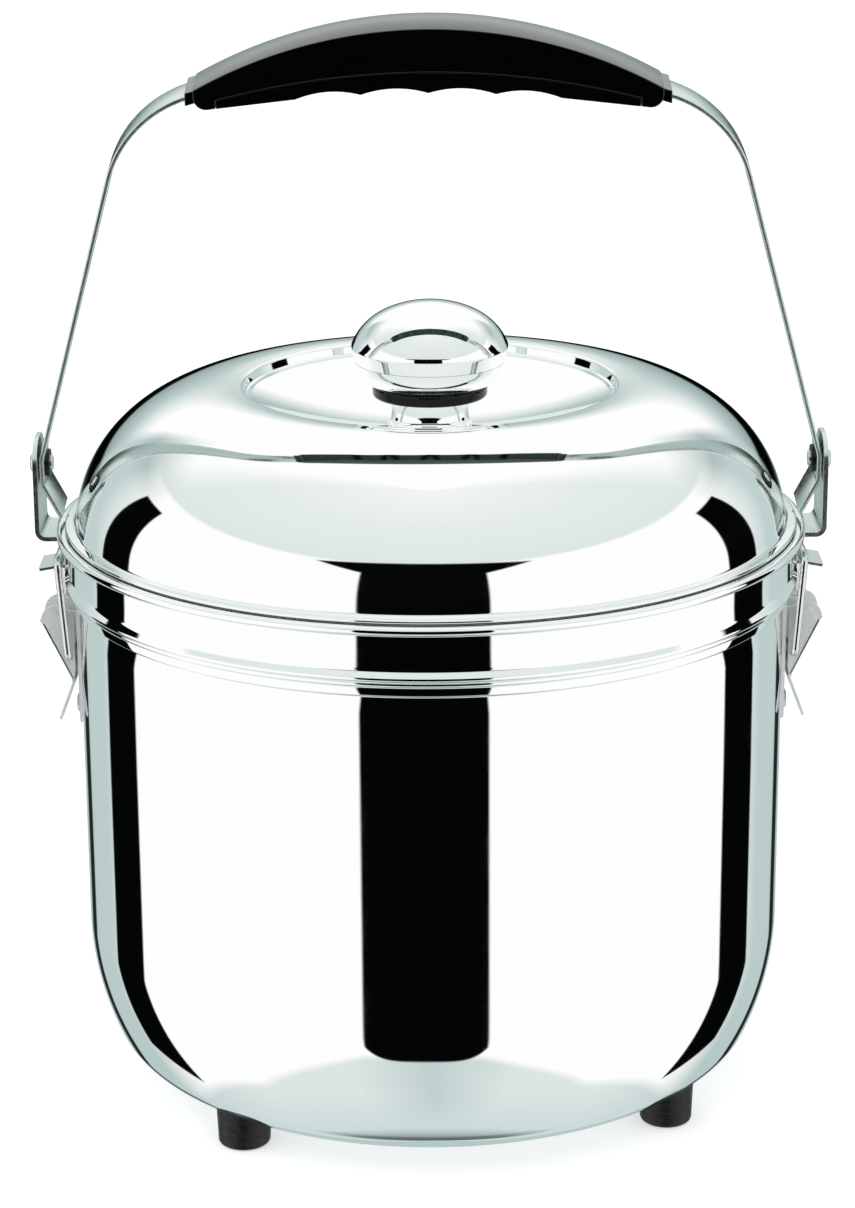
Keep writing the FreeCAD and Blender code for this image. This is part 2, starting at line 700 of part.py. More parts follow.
def base_rivets():
    """Blind rivets that hold one latch base on the wall."""
    rivets = []
    for z in BASE_RIVET_ZS:
        seat_x = WALL_R - VESSEL_SHEET - SEAT_GAP
        tail_x = seat_x - BASE_RIVET_TAIL_H
        head_x = BASE_FACE_R + BASE_RIVET_HEAD_H
        outline = rounded_outline([(0, tail_x), (BASE_RIVET_TAIL_R, tail_x, BASE_RIVET_TAIL_EDGE_R),
                                   (BASE_RIVET_TAIL_R, seat_x), (BASE_RIVET_R, seat_x),
                                   (BASE_RIVET_R, BASE_FACE_R), (BASE_RIVET_HEAD_R, BASE_FACE_R),
                                   (BASE_RIVET_HEAD_R, head_x, BASE_RIVET_HEAD_EDGE_R), (0, head_x)])
        rivets.append(laid_outwards(outline.turn(), z))
    return Part.makeCompound(rivets)


def lever():
    """The over-centre lever: a bent channel with a finger tab."""
    face_x = PIVOT_R + LEVER_TOP_R
    knee = (face_x - LEVER_KNEE_IN, PIVOT_Z - LEVER_KNEE_DROP)
    tip = (knee[0] + LEVER_TAB_OUT, knee[1] - LEVER_TAB_DROP)
    line = Outline(face_x, PIVOT_Z)
    line.corner(knee[0], knee[1], LEVER_KNEE_R, tip[0], tip[1])
    line.line(tip[0], tip[1])
    web = pulled_sheet(line, -LEVER_SHEET, LEVER_HALF)
    back_x = PIVOT_R - LEVER_TOP_R
    flange = Outline(back_x, PIVOT_Z)
    flange.arc(PIVOT_R, PIVOT_Z, LEVER_TOP_R, 180, 0)
    flange.line(knee[0], knee[1])
    flange.line(back_x, PIVOT_Z - LEVER_FLANGE_END)
    pieces = [web]
    for start in (LEVER_HALF - LEVER_SHEET, -LEVER_HALF):
        pieces.append(flange.pull(start, start + LEVER_SHEET))
    front = rounded_outline([(-LEVER_HALF, tip[1], LEVER_TAB_CORNER_R), (LEVER_HALF, tip[1], LEVER_TAB_CORNER_R),
                             (LEVER_HALF, RIM_TOP_Z), (-LEVER_HALF, RIM_TOP_Z)], facing_plane)
    body = fused(pieces).common(front.pull(0, 2 * WALL_R))
    body = body.cut(pin_bore(PIN_R))
    hole = rod(LOOP_WIRE_R + PIN_FIT, Vector(LOOP_HOLE_R, -2 * LEVER_HALF, LOOP_HOLE_Z), ACROSS, 4 * LEVER_HALF)
    return body.cut(hole)


def loop():
    """The wire loop from its two turned-in ends up to the cross-bar."""
    legs = unit(LOOP_BAR_R - LOOP_HOLE_R, LOOP_BAR_Z - LOOP_HOLE_Z)
    length = math.dist((LOOP_BAR_R, LOOP_BAR_Z), (LOOP_HOLE_R, LOOP_HOLE_Z))
    path = Outline(-LOOP_END_HALF, 0, facing_plane)
    path.corner(-LOOP_LEG_HALF, 0, LOOP_BEND_R, -LOOP_LEG_HALF, length)
    path.corner(-LOOP_LEG_HALF, length, LOOP_BEND_R, LOOP_LEG_HALF, length)
    path.corner(LOOP_LEG_HALF, length, LOOP_BEND_R, LOOP_LEG_HALF, 0)
    path.corner(LOOP_LEG_HALF, 0, LOOP_BEND_R, LOOP_END_HALF, 0)
    path.line(LOOP_END_HALF, 0)
    section = Part.Wire([Part.Circle(Vector(0, -LOOP_END_HALF, 0), ACROSS, LOOP_WIRE_R).toShape()])
    wire = outward(path.wire().makePipeShell([section], True, False))
    wire.rotate(CENTRE, ACROSS, math.degrees(math.atan2(legs[0], legs[1])))
    wire.translate(Vector(LOOP_HOLE_R, 0, LOOP_HOLE_Z))
    return wire


def arch_s(x, below=0.0):
    """The height of the bail's arch above the pivot, or of a line below and parallel to it."""
    return ARCH_TOP - ARCH_R + math.sqrt((ARCH_R - below) ** 2 - x ** 2)


def strip_line():
    """The outer side of the bail strip, from the right tip over the arch to the left tip."""
    end_s = arch_s(ARCH_HALF)
    slope = math.asin(ARCH_HALF / ARCH_R)
    lean = math.radians(LEG_LEAN)
    leg = (-math.sin(lean), math.cos(lean))
    meet = meeting((STRIP_FACE_X, LEG_START), leg, (ARCH_HALF, end_s), (math.cos(slope), -math.sin(slope)))
    reach = math.dist(meet, (ARCH_HALF, end_s))
    bend_r = reach * math.tan((math.pi / 2 + lean + slope) / 2)
    line = Outline(STRIP_FACE_X - TIP_IN, -TIP_DROP)
    line.corner(STRIP_FACE_X, -TIP_KNEE_DROP, TIP_KNEE_R, STRIP_FACE_X, LEG_START)
    line.corner(STRIP_FACE_X, LEG_START, LEG_START_R, meet[0], meet[1])
    line.corner(meet[0], meet[1], bend_r, ARCH_HALF, end_s)
    line.through((0, ARCH_TOP), (-ARCH_HALF, end_s))
    line.corner(-meet[0], meet[1], bend_r, -STRIP_FACE_X, LEG_START)
    line.corner(-STRIP_FACE_X, LEG_START, LEG_START_R, -STRIP_FACE_X, -TIP_KNEE_DROP)
    line.corner(-STRIP_FACE_X, -TIP_KNEE_DROP, TIP_KNEE_R, -STRIP_FACE_X + TIP_IN, -TIP_DROP)
    line.line(-STRIP_FACE_X + TIP_IN, -TIP_DROP)
    return line


def meeting(start_a, along_a, start_b, along_b):
    """Where two lines in the bail's plane cross."""
    cross = along_a[0] * along_b[1] - along_a[1] * along_b[0]
    gap = (start_b[0] - start_a[0], start_b[1] - start_a[1])
    reach = (gap[0] * along_b[1] - gap[1] * along_b[0]) / cross
    return (start_a[0] + along_a[0] * reach, start_a[1] + along_a[1] * reach)


def raised(shape):
    """Stand a piece drawn about the bail's pivot in its place, leaning to the front."""
    shape = shape.copy()
    shape.rotate(CENTRE, OUT, BAIL_LEAN)
    shape.translate(Vector(0, 0, BAIL_PIVOT_Z))
    return shape


def grip_screw_bores(radius, low_s, high_s):
    bores = []
    for x in (-GRIP_SCREW_X, GRIP_SCREW_X):
        bores.append(rod(radius, Vector(x, 0, low_s), UP, high_s - low_s))
    return Part.makeCompound(bores)


def bail_strip():
    strip = pulled_sheet(strip_line(), STRIP_T, STRIP_HALF)
    strip = strip.cut(rod(RIVET_R + PIN_FIT, Vector(-2 * STRIP_FACE_X, 0, 0), OUT, 4 * STRIP_FACE_X))
    return raised(strip.cut(grip_screw_bores(GRIP_SCREW_R + PIN_FIT, GRIP_BELLY, GRIP_CREST)))


def belly_s(x):
    return GRIP_BELLY - GRIP_BELLY_R + math.sqrt(GRIP_BELLY_R ** 2 - x ** 2)


def crest_s(x):
    return GRIP_CREST - GRIP_CREST_R + math.sqrt(GRIP_CREST_R ** 2 - x ** 2)


def grip_block():
    """The whole grip with its finger grooves, before it is parted and hollowed."""
    end_low = belly_s(GRIP_HALF_L)
    end_top = crest_s(GRIP_HALF_L)
    outline = Outline(0, belly_s(0))
    for start, end in zip(GROOVE_EDGES, GROOVE_EDGES[1:]):
        outline.through(groove_middle(start, end), (end, belly_s(end)))
    outline.corner(GRIP_HALF_L, end_low, GRIP_END_LOW_R, GRIP_HALF_L, end_top)
    outline.line(GRIP_HALF_L, end_top)
    outline.through((0, GRIP_CREST), (-GRIP_HALF_L, end_top))
    left_edge = -GROOVE_EDGES[-1]
    outline.corner(-GRIP_HALF_L, end_low, GRIP_END_LOW_R, left_edge, belly_s(left_edge))
    outline.line(left_edge, belly_s(left_edge))
    for start, end in zip(GROOVE_EDGES[::-1], GROOVE_EDGES[-2::-1]):
        outline.through(groove_middle(-start, -end), (-end, belly_s(end)))
    return outline.pull(-GRIP_HALF_W, GRIP_HALF_W)


def groove_middle(start, end):
    return ((start + end) / 2, (belly_s(start) + belly_s(end)) / 2 + GROOVE_RISE)


def under_arch(below, half_l, half_w):
    """Everything under a line parallel to the arch, within a length and a width."""
    low_s = belly_s(half_l) - CUT_PAST
    outline = Outline(half_l, low_s)
    outline.line(half_l, arch_s(half_l, below))
    outline.through((0, ARCH_TOP - below), (-half_l, arch_s(half_l, below)))
    outline.line(-half_l, low_s)
    return outline.pull(-half_w, half_w)


def end_band(x, low_below, high_below):
    """The two heights at x of lines parallel to the arch."""
    return (arch_s(x, low_below), arch_s(x, high_below))


def grip_nub(side):
    """A short collar of the moulding where the strip comes out of one end."""
    inner_x = GRIP_HALF_L - NUB_L
    outer_x = GRIP_HALF_L + NUB_L
    low_in, top_in = end_band(inner_x, STRIP_T + NUB_WALL, -NUB_WALL)
    low_out, top_out = end_band(outer_x, STRIP_T + NUB_WALL, -NUB_WALL)
    nub = rounded_outline([(side * inner_x, low_in), (side * outer_x, low_out),
                           (side * outer_x, top_out), (side * inner_x, top_in)])
    return nub.pull(-STRIP_HALF - NUB_WALL, STRIP_HALF + NUB_WALL)


def strip_channel():
    """The room for the strip, open below between the ends of the insert's tongue."""
    past = GRIP_HALF_L + NUB_L + CUT_PAST
    open_l = INSERT_HALF_L - TONGUE_STEP
    middle = (past + open_l) / 2
    low_past, top_past = end_band(past, STRIP_T + SEAT_GAP, -SEAT_GAP)
    floor = (arch_s(middle, STRIP_T + SEAT_GAP), arch_s(open_l, STRIP_T + SEAT_GAP))
    outline = Outline(past, low_past)
    outline.line(past, top_past)
    outline.through((0, ARCH_TOP + SEAT_GAP), (-past, top_past))
    outline.line(-past, low_past)
    outline.through((-middle, floor[0]), (-open_l, floor[1]))
    outline.line(-open_l, low_past - CUT_PAST)
    outline.line(open_l, low_past - CUT_PAST)
    outline.line(open_l, floor[1])
    outline.through((middle, floor[0]), (past, low_past))
    return outline.pull(-STRIP_HALF - SEAT_GAP, STRIP_HALF + SEAT_GAP)


def grip_cover():
    """The upper moulding, with the channel that holds the strip and a nub round it at each end."""
    cover = grip_block().fuse([grip_nub(1), grip_nub(-1)]).removeSplitter()
    cover = cover.cut(under_arch(STRIP_T + PARTING_BELOW, INSERT_HALF_L, GRIP_HALF_W + CUT_PAST))
    cover = cover.cut(strip_channel())
    bore_top = crest_s(GRIP_SCREW_X) - GRIP_SCREW_WALL
    return raised(cover.cut(grip_screw_bores(GRIP_SCREW_R + PIN_FIT, GRIP_BELLY, bore_top)))


def grip_insert():
    """The lower moulding with the finger grooves, and a tongue that presses on the strip."""
    parting = STRIP_T + PARTING_BELOW
    lower = grip_block().common(under_arch(parting + SEAT_GAP, INSERT_HALF_L - SEAT_GAP, GRIP_HALF_W + CUT_PAST))
    tongue = under_arch(STRIP_T, INSERT_HALF_L - TONGUE_STEP - SEAT_GAP, STRIP_HALF)
    tongue = tongue.cut(under_arch(parting + TONGUE_OVERLAP, GRIP_HALF_L, GRIP_HALF_W))
    insert = fused([lower, tongue])
    insert = insert.cut(grip_screw_bores(GRIP_SCREW_R + PIN_FIT, 0, GRIP_CREST))
    head_top = screw_head_s() + GRIP_SCREW_HEAD_H
    return raised(insert.cut(grip_screw_bores(GRIP_SCREW_HEAD_R + SEAT_GAP, 0, head_top)))


def screw_head_s():
    """The underside of the grip screws' heads, sunk into a finger groove."""
    return belly_s(GRIP_SCREW_X) + GROOVE_RISE + GRIP_SCREW_DEEP - GRIP_SCREW_HEAD_H


def grip_screws():
    screws = []
    low = screw_head_s()
    for x in (-GRIP_SCREW_X, GRIP_SCREW_X):
        head = rod(GRIP_SCREW_HEAD_R, Vector(x, 0, low), UP, GRIP_SCREW_HEAD_H)
        length = crest_s(GRIP_SCREW_X) - GRIP_SCREW_WALL - GRIP_SCREW_SHORT - low
        shank = rod(GRIP_SCREW_R, Vector(x, 0, low), UP, length)
        screws.append(head.fuse(shank).removeSplitter())
    return raised(Part.makeCompound(screws))


def crown_centre():
    """The crown arc's centre, on the line through the dome arc's centre and their joint."""
    return polar(DOME_CENTRE_R, DOME_CENTRE_Z, DOME_R - CROWN_R, DOME_END_DEG)


def dish_edge():
    """Where the dished floor meets the step under the lid's lip."""
    lip_r, lip_z = polar(*crown_centre(), CROWN_R, CROWN_END_DEG)
    return (lip_r - LIP_IN - LIP_SLOPE_W - LEDGE_W - STEP_IN, lip_z - LIP_DROP - STEP_DROP)


def dish_centre_z():
    edge_r, edge_z = dish_edge()
    return edge_z + math.sqrt(DISH_R ** 2 - edge_r ** 2)


def dish_z(r, below=0.0):
    """The height of the dished floor, or of a face a little below it."""
    return dish_centre_z() - math.sqrt((DISH_R + below) ** 2 - r ** 2)


def lid_shell():
    """The domed lid with its hemmed flange, lip and dished floor."""
    crown = crown_centre()
    lip_r, lip_z = polar(*crown, CROWN_R, CROWN_END_DEG)
    ledge_z = lip_z - LIP_DROP
    edge_r, edge_z = dish_edge()
    wall = polar(DOME_CENTRE_R, DOME_CENTRE_Z, DOME_R, DOME_START_DEG)
    line = Outline(LID_FLANGE_R - LID_HEM / 2, LID_FLANGE_TOP)
    line.corner(LID_WALL_R, LID_FLANGE_TOP, LID_FILLET_R, wall[0], wall[1])
    line.arc(DOME_CENTRE_R, DOME_CENTRE_Z, DOME_R, DOME_START_DEG, DOME_END_DEG)
    line.arc(crown[0], crown[1], CROWN_R, DOME_END_DEG, CROWN_END_DEG)
    line.corner(lip_r - LIP_IN, lip_z, LIP_R, lip_r - LIP_IN - LIP_SLOPE_W, ledge_z)
    line.line(lip_r - LIP_IN - LIP_SLOPE_W, ledge_z)
    line.line(edge_r + STEP_IN, ledge_z)
    line.line(edge_r, edge_z)
    middle_r = edge_r / 2
    line.through((middle_r, dish_z(middle_r)), (STUD_HOLE_R, dish_z(STUD_HOLE_R)))
    hem_in = LID_FLANGE_R - LID_HEM
    hem = rounded_outline([(hem_in, LID_FLANGE_TOP - LID_SHEET), (hem_in, LID_FLANGE_Z),
                           (LID_FLANGE_R, LID_FLANGE_Z, LID_HEM_EDGE_R),
                           (LID_FLANGE_R, LID_FLANGE_TOP, LID_HEM_EDGE_R),
                           (hem_in, LID_FLANGE_TOP)]).turn()
    return fused([turned_sheet(line, LID_SHEET), hem])


def lid_pan():
    """The pan that closes the lid's underside, held in the shell's hem."""
    line = Outline(0, PAN_FLOOR_Z)
    line.corner(PAN_R, PAN_FLOOR_Z, PAN_CORNER_R, PAN_R, LID_FLANGE_Z)
    line.corner(PAN_R, LID_FLANGE_Z, PAN_SHEET, LID_FLANGE_R, LID_FLANGE_Z)
    line.line(LID_FLANGE_R - LID_HEM, LID_FLANGE_Z)
    return turned_sheet(line, PAN_SHEET)


def lid_insulation():
    """The foam between the lid's dome and its pan, with a pocket for the knob's nut."""
    inset = LID_SHEET + FOAM_GAP
    crown = crown_centre()
    radius = PAN_R - PAN_SHEET - FOAM_GAP
    floor = PAN_FLOOR_Z + PAN_SHEET + FOAM_GAP
    edge_r = dish_edge()[0] + STEP_IN
    foam = Outline(0, floor)
    foam.corner(radius, floor, PAN_CORNER_R, radius, LID_FLANGE_TOP)
    foam.arc(DOME_CENTRE_R, DOME_CENTRE_Z, DOME_R - inset - FOAM_GAP, DOME_START_DEG, DOME_END_DEG)
    foam.arc(crown[0], crown[1], CROWN_R - inset - FOAM_GAP, DOME_END_DEG, 90)
    foam.line(edge_r, dish_z(edge_r, inset))
    foam.through((edge_r / 2, dish_z(edge_r / 2, inset)), (0, dish_z(0, inset)))
    pocket_low = nut_low_z() - STUD_BELOW_NUT - NUT_POCKET_GAP
    return foam.turn().cut(rod(WASHER_M6_R + NUT_POCKET_GAP, Vector(0, 0, pocket_low), UP, RIM_TOP_Z))


def lid_seal():
    """A silicone ring on the pan, with a lip that bears on the pot's collar."""
    low = LID_FLANGE_Z - SEAL_LOW
    top = LID_FLANGE_Z - SEAL_TOP
    root = (PAN_R + SEAL_R) / 2
    return rounded_outline([(PAN_R, low), (root, low, SEAL_ROOT_EDGE_R), (root, low + SEAL_ROOT_H),
                            (SEAL_R, top - SEAL_LIP_H, SEAL_LIP_EDGE_R), (SEAL_R, top, SEAL_LIP_EDGE_R),
                            (PAN_R, top)]).turn()


def stem_top_z():
    return dish_z(0) + STEM_TOP_ABOVE_DISH


def ring_top_z():
    return stem_top_z() + KNOB_RING_H


def knob_stem():
    outline = Outline(STUD_HOLE_R, dish_z(STUD_HOLE_R))
    middle = (STUD_HOLE_R + STEM_R) / 2
    outline.through((middle, dish_z(middle)), (STEM_R, dish_z(STEM_R)))
    outline.line(STEM_R, stem_top_z())
    outline.line(STUD_HOLE_R, stem_top_z())
    return outline.turn()


def knob_collar():
    low = stem_top_z()
    top = ring_top_z()
    return rounded_outline([(STUD_HOLE_R, low), (KNOB_RING_R, low, KNOB_RING_EDGE_R),
                            (KNOB_RING_R, top, KNOB_RING_EDGE_R), (STUD_HOLE_R, top)]).turn()


def cap_edge_centre():
    return (CAP_R - CAP_EDGE_R, ring_top_z() + CAP_EDGE_H)


def knob_dish():
    """The lower half of the knob's head."""
    low = ring_top_z()
    seam = polar(*cap_edge_centre(), CAP_EDGE_R, CAP_SEAM_DEG)
    seam = (seam[0], seam[1] - KNOB_SEAM_GAP)
    along = unit(seam[0] - KNOB_DISH_R, seam[1] - low)
    middle = ((seam[0] + KNOB_DISH_R) / 2 + along[1] * KNOB_DISH_BULGE,
              (seam[1] + low) / 2 - along[0] * KNOB_DISH_BULGE)
    line = Outline(STUD_HOLE_R, low)
    line.line(KNOB_DISH_R, low)
    line.through(middle, seam)
    return turned_sheet(line, KNOB_SHEET)


def knob_cap():
    edge = cap_edge_centre()
    rise = math.sqrt((CAP_CROWN_R - CAP_EDGE_R) ** 2 - edge[0] ** 2)
    crown_z = edge[1] - rise
    tangent = math.degrees(math.atan2(rise, edge[0]))
    line = Outline(*polar(*edge, CAP_EDGE_R, CAP_SEAM_DEG))
    line.arc(edge[0], edge[1], CAP_EDGE_R, CAP_SEAM_DEG, tangent)
    line.arc(0, crown_z, CAP_CROWN_R, tangent, 90)
    return turned_sheet(line, KNOB_SHEET)


def washer_top_z():
    return dish_z(0, LID_SHEET)


def nut_low_z():
    return washer_top_z() - WASHER_M6_T - NUT_H


def knob_stud():
    low = nut_low_z() - STUD_BELOW_NUT
    seat = ring_top_z() + KNOB_SHEET
    shank = rod(STUD_R, Vector(0, 0, low), UP, seat - low)
    return fused([shank, rod(STUD_FLANGE_R, Vector(0, 0, seat), UP, STUD_FLANGE_T)])


def knob_washer():
    low = Vector(0, 0, washer_top_z() - WASHER_M6_T)
    return rod(WASHER_M6_R, low, UP, WASHER_M6_T).cut(rod(STUD_HOLE_R, low, UP, WASHER_M6_T))


def knob_nut():
    nut = hex_prism(NUT_AF, nut_low_z(), NUT_H)
    return nut.cut(rod(STUD_R + PIN_FIT, Vector(0, 0, nut_low_z()), UP, NUT_H))


def keep_pair(name, shape):
    """Keep a piece on the right and its mirror image on the left."""
    keep(name + "_right", shape)
    keep(name + "_left", mirrored(shape))


def build():
    keep("outer_shell", outer_shell())
    keep("vessel_insulation", vessel_insulation())
    keep("vessel_liner", vessel_liner())
    for name, degrees in foot_places().items():
        keep("foot_" + name, foot(degrees))
    keep("foot_screws", at_feet(foot_screw()))
    keep("foot_nuts", at_feet(foot_nut()))
    keep("inner_pot", inner_pot())
    keep_pair("catch", catch())
    keep_pair("ear", ear())
    keep_pair("bail_rivet", bail_rivet())
    keep_pair("pivot_washer", pivot_washer())
    keep_pair("latch_base", latch_base())
    keep("latch_base_rivets", both_sides(base_rivets()))
    keep_pair("lever_pin", lever_pin())
    keep_pair("lever", lever())
    keep_pair("loop", loop())
    keep("bail_strip", bail_strip())
    keep("grip_cover", grip_cover())
    keep("grip_insert", grip_insert())
    keep("grip_screws", grip_screws())
    keep("lid_shell", lid_shell())
    keep("lid_pan", lid_pan())
    keep("lid_insulation", lid_insulation())
    keep("lid_seal", lid_seal())
    keep("knob_stem", knob_stem())
    keep("knob_collar", knob_collar())
    keep("knob_dish", knob_dish())
    keep("knob_cap", knob_cap())
    keep("knob_stud", knob_stud())
    keep("knob_washer", knob_washer())
    keep("knob_nut", knob_nut())


build()
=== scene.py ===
"""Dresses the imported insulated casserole: polished steel, moulded plastic and rubber, in a white studio."""

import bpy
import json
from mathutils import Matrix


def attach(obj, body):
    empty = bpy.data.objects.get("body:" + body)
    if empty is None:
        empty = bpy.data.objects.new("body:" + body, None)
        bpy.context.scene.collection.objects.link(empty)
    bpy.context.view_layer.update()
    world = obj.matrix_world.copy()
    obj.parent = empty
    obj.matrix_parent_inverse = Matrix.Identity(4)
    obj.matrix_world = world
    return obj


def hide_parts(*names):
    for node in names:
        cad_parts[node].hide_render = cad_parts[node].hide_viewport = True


bl_info = {
    "name": "Insulated casserole",
    "version": (1, 0, 0),
    "blender": (4, 5, 0),
    "location": "3D View > Sidebar > Casserole",
    "description": "Builds the finished pieces of an insulated steel casserole over its packed frame",
    "category": "Object",
}

import json
import math

import bmesh
import bpy
from mathutils import Matrix, Vector

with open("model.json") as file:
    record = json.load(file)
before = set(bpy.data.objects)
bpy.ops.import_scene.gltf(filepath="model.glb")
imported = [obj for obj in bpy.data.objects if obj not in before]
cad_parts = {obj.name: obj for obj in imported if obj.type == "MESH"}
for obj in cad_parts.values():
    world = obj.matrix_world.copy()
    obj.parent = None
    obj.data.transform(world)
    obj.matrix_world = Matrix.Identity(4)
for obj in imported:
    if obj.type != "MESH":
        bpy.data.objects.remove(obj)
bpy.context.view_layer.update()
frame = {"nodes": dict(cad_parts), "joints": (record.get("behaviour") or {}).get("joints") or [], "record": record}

MM = 0.001
JOINTS = {joint["name"]: joint for joint in frame["joints"]}
BAIL_PIVOT_Z = JOINTS["bail_swing"]["pos_m"][2]
LEVER_PIVOT = JOINTS["lever_right_open"]["pos_m"]
LOOP_HOLE = JOINTS["loop_right_swing"]["pos_m"]
SIDES = {"right": 1, "left": -1}
SMOOTH_BELOW = 32.0  # degrees between faces that still shade as one
ARCH_R = 261.0  # radius of the bail's arch, in millimetres
DISH_EDGE = (58.72, 231.0)  # radius and height of the edge of the lid's dished floor
STUD_R = 3.1  # radius of the bore for the knob's stud
TAB_Z = 174.2  # underside of the catches


# Outlines, in millimetres


def polar(u, v, radius, degrees):
    return (u + radius * math.cos(math.radians(degrees)), v + radius * math.sin(math.radians(degrees)))


def arc(u, v, radius, start, end, steps=10):
    """Points along an arc about (u, v), with angles in degrees."""
    return [polar(u, v, radius, start + (end - start) * step / steps) for step in range(steps + 1)]


def unit(u, v):
    length = math.hypot(u, v)
    return (u / length, v / length)


def bend(points, steps=5, closed=False):
    """Points with each corner that has a third number rounded to that radius."""
    result = []
    count = len(points)
    for index, point in enumerate(points):
        if len(point) < 3 or not (closed or 0 < index < count - 1):
            result.append(tuple(point[:2]))
            continue
        u, v, radius = point
        before, after = points[index - 1], points[(index + 1) % count]
        back = unit(before[0] - u, before[1] - v)
        ahead = unit(after[0] - u, after[1] - v)
        half = math.acos(max(-1.0, min(1.0, back[0] * ahead[0] + back[1] * ahead[1]))) / 2
        middle = unit(back[0] + ahead[0], back[1] + ahead[1])
        centre = (u + middle[0] * radius / math.sin(half), v + middle[1] * radius / math.sin(half))
        reach = radius / math.tan(half)
        start, end = (math.degrees(math.atan2(v + way[1] * reach - centre[1], u + way[0] * reach - centre[0]))
                      for way in (back, ahead))
        turn = (end - start + 180) % 360 - 180
        result += arc(*centre, radius, start, start + turn, steps)
    return result


def bulged(start, end, rise, steps=16):
    """An arc between two points that stands out to the right of its chord by a rise."""
    chord = math.dist(start, end)
    radius = (chord ** 2 / 4 + rise ** 2) / (2 * rise)
    along = unit(end[0] - start[0], end[1] - start[1])
    right = (along[1], -along[0])
    back = radius - rise
    centre = ((start[0] + end[0]) / 2 - right[0] * back, (start[1] + end[1]) / 2 - right[1] * back)
    half = math.degrees(math.asin(chord / 2 / radius))
    middle = math.degrees(math.atan2(right[1], right[0]))
    return arc(*centre, radius, middle - half, middle + half, steps)


def tidy(points):
    """The points without doubles."""
    kept = []
    for point in points:
        if not kept or math.dist(kept[-1], point) > 1e-4:
            kept.append(point)
    return kept


def normals(line):
    """The left-hand normal at each point of an open line, with the stretch that a mitre needs."""
    result = []
    for index in range(len(line)):
        parts = []
        for first, second in ((index - 1, index), (index, index + 1)):
            if 0 <= first and second < len(line):
                u, v = unit(line[second][0] - line[first][0], line[second][1] - line[first][1])
                parts.append((-v, u))
        total = unit(sum(p[0] for p in parts), sum(p[1] for p in parts))
        stretch = max(0.4, total[0] * parts[0][0] + total[1] * parts[0][1])
        result.append((total[0] / stretch, total[1] / stretch))
    return result


def offset(line, distance):
    """The line moved to its left by a distance."""
    return [(p[0] + n[0] * distance, p[1] + n[1] * distance) for p, n in zip(line, normals(line))]


def sheet_outline(line, thickness):
    """The closed outline of a sheet whose right-hand side is this line."""
    line = tidy(line)
    return line + offset(line, thickness)[::-1]


def short_steps(points, closed, reach=7.0):
    """The points with long runs divided, so that smooth shading stays true along them."""
    result = []
    ends = points[1:] + points[:1] if closed else points[1:]
    for first, second in zip(points, ends):
        count = max(1, math.ceil(math.dist(first, second) / reach))
        for share in (step / count for step in range(count)):
            result.append((first[0] + (second[0] - first[0]) * share, first[1] + (second[1] - first[1]) * share))
    return result if closed else result + [points[-1]]


# Meshes


def finished_piece(name, bm, body, slot, nodes=(), look=None, bevel=0.0, bevel_steps=2):
    """Turn a bmesh in millimetres into a piece that rides on a body and stands for CAD nodes."""
    if not bm.faces:
        raise RuntimeError(name + " came out empty")
    bmesh.ops.remove_doubles(bm, verts=bm.verts, dist=1e-5)
    bmesh.ops.recalc_face_normals(bm, faces=bm.faces)
    mesh = bpy.data.meshes.new(name)
    bm.to_mesh(mesh)
    bm.free()
    mesh.transform(Matrix.Scale(MM, 4))
    mesh.shade_smooth()
    mesh.set_sharp_from_angle(angle=math.radians(SMOOTH_BELOW))
    mesh.materials.append(finish(look or slot))
    piece = bpy.data.objects.new(name, mesh)
    bpy.context.scene.collection.objects.link(piece)
    if bevel:
        edge = piece.modifiers.new("edge", "BEVEL")
        edge.width = bevel * MM
        edge.segments = bevel_steps
        edge.limit_method = "ANGLE"
        edge.angle_limit = math.radians(30)
        edge.harden_normals = True
        edge.use_clamp_overlap = True
    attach(piece, body)
    if nodes:
        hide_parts(*nodes)
    return piece


def lathe(outline, closed=True, turns=256, centre=(0.0, 0.0), bm=None):
    """A surface of revolution about an upright axis."""
    bm = bm or bmesh.new()
    points = short_steps(tidy(outline), closed)
    rings = []
    for r, z in points:
        if r < 1e-4:
            rings.append([bm.verts.new((centre[0], centre[1], z))] * turns)
            continue
        angles = (2 * math.pi * turn / turns for turn in range(turns))
        rings.append([bm.verts.new((centre[0] + r * math.cos(angle), centre[1] + r * math.sin(angle), z))
                      for angle in angles])
    for low, high in zip(rings, rings[1:] + rings[:1] if closed else rings[1:]):
        for turn in range(turns):
            after = (turn + 1) % turns
            corners = list(dict.fromkeys((low[turn], low[after], high[after], high[turn])))
            if len(corners) > 2:
                bm.faces.new(corners)
    return bm


def skinned(rings, bm, ends=True):
    """Rings of as many corners each, skinned from one to the next, with faces over both ends."""
    for first, second in zip(rings, rings[1:]):
        for index in range(len(first)):
            after = (index + 1) % len(first)
            bm.faces.new((first[index], first[after], second[after], second[index]))
    if ends:
        bm.faces.new(rings[0][::-1])
        bm.faces.new(rings[-1])
    return bm


def stacked(layers, bm=None):
    """Closed outlines with as many points each, given as (w, outline), skinned across their plane."""
    bm = bm or bmesh.new()
    return skinned([[bm.verts.new((u, w, v)) for u, v in outline] for w, outline in layers], bm)


def pull(outline, low, high, bm=None):
    """A closed outline pulled straight across its plane."""
    outline = tidy(outline)
    if math.dist(outline[0], outline[-1]) < 1e-4:
        outline = outline[:-1]
    return stacked([(low, outline), (high, outline)], bm)


def strip_ring(bm, point, normal, half, depth):
    """The four corners of a flat strip where it crosses a point of its line."""
    ring = []
    for w, away in ((-half, 0), (half, 0), (half, depth), (-half, depth)):
        ring.append(bm.verts.new((point[0] + normal[0] * away, w, point[1] + normal[1] * away)))
    return ring


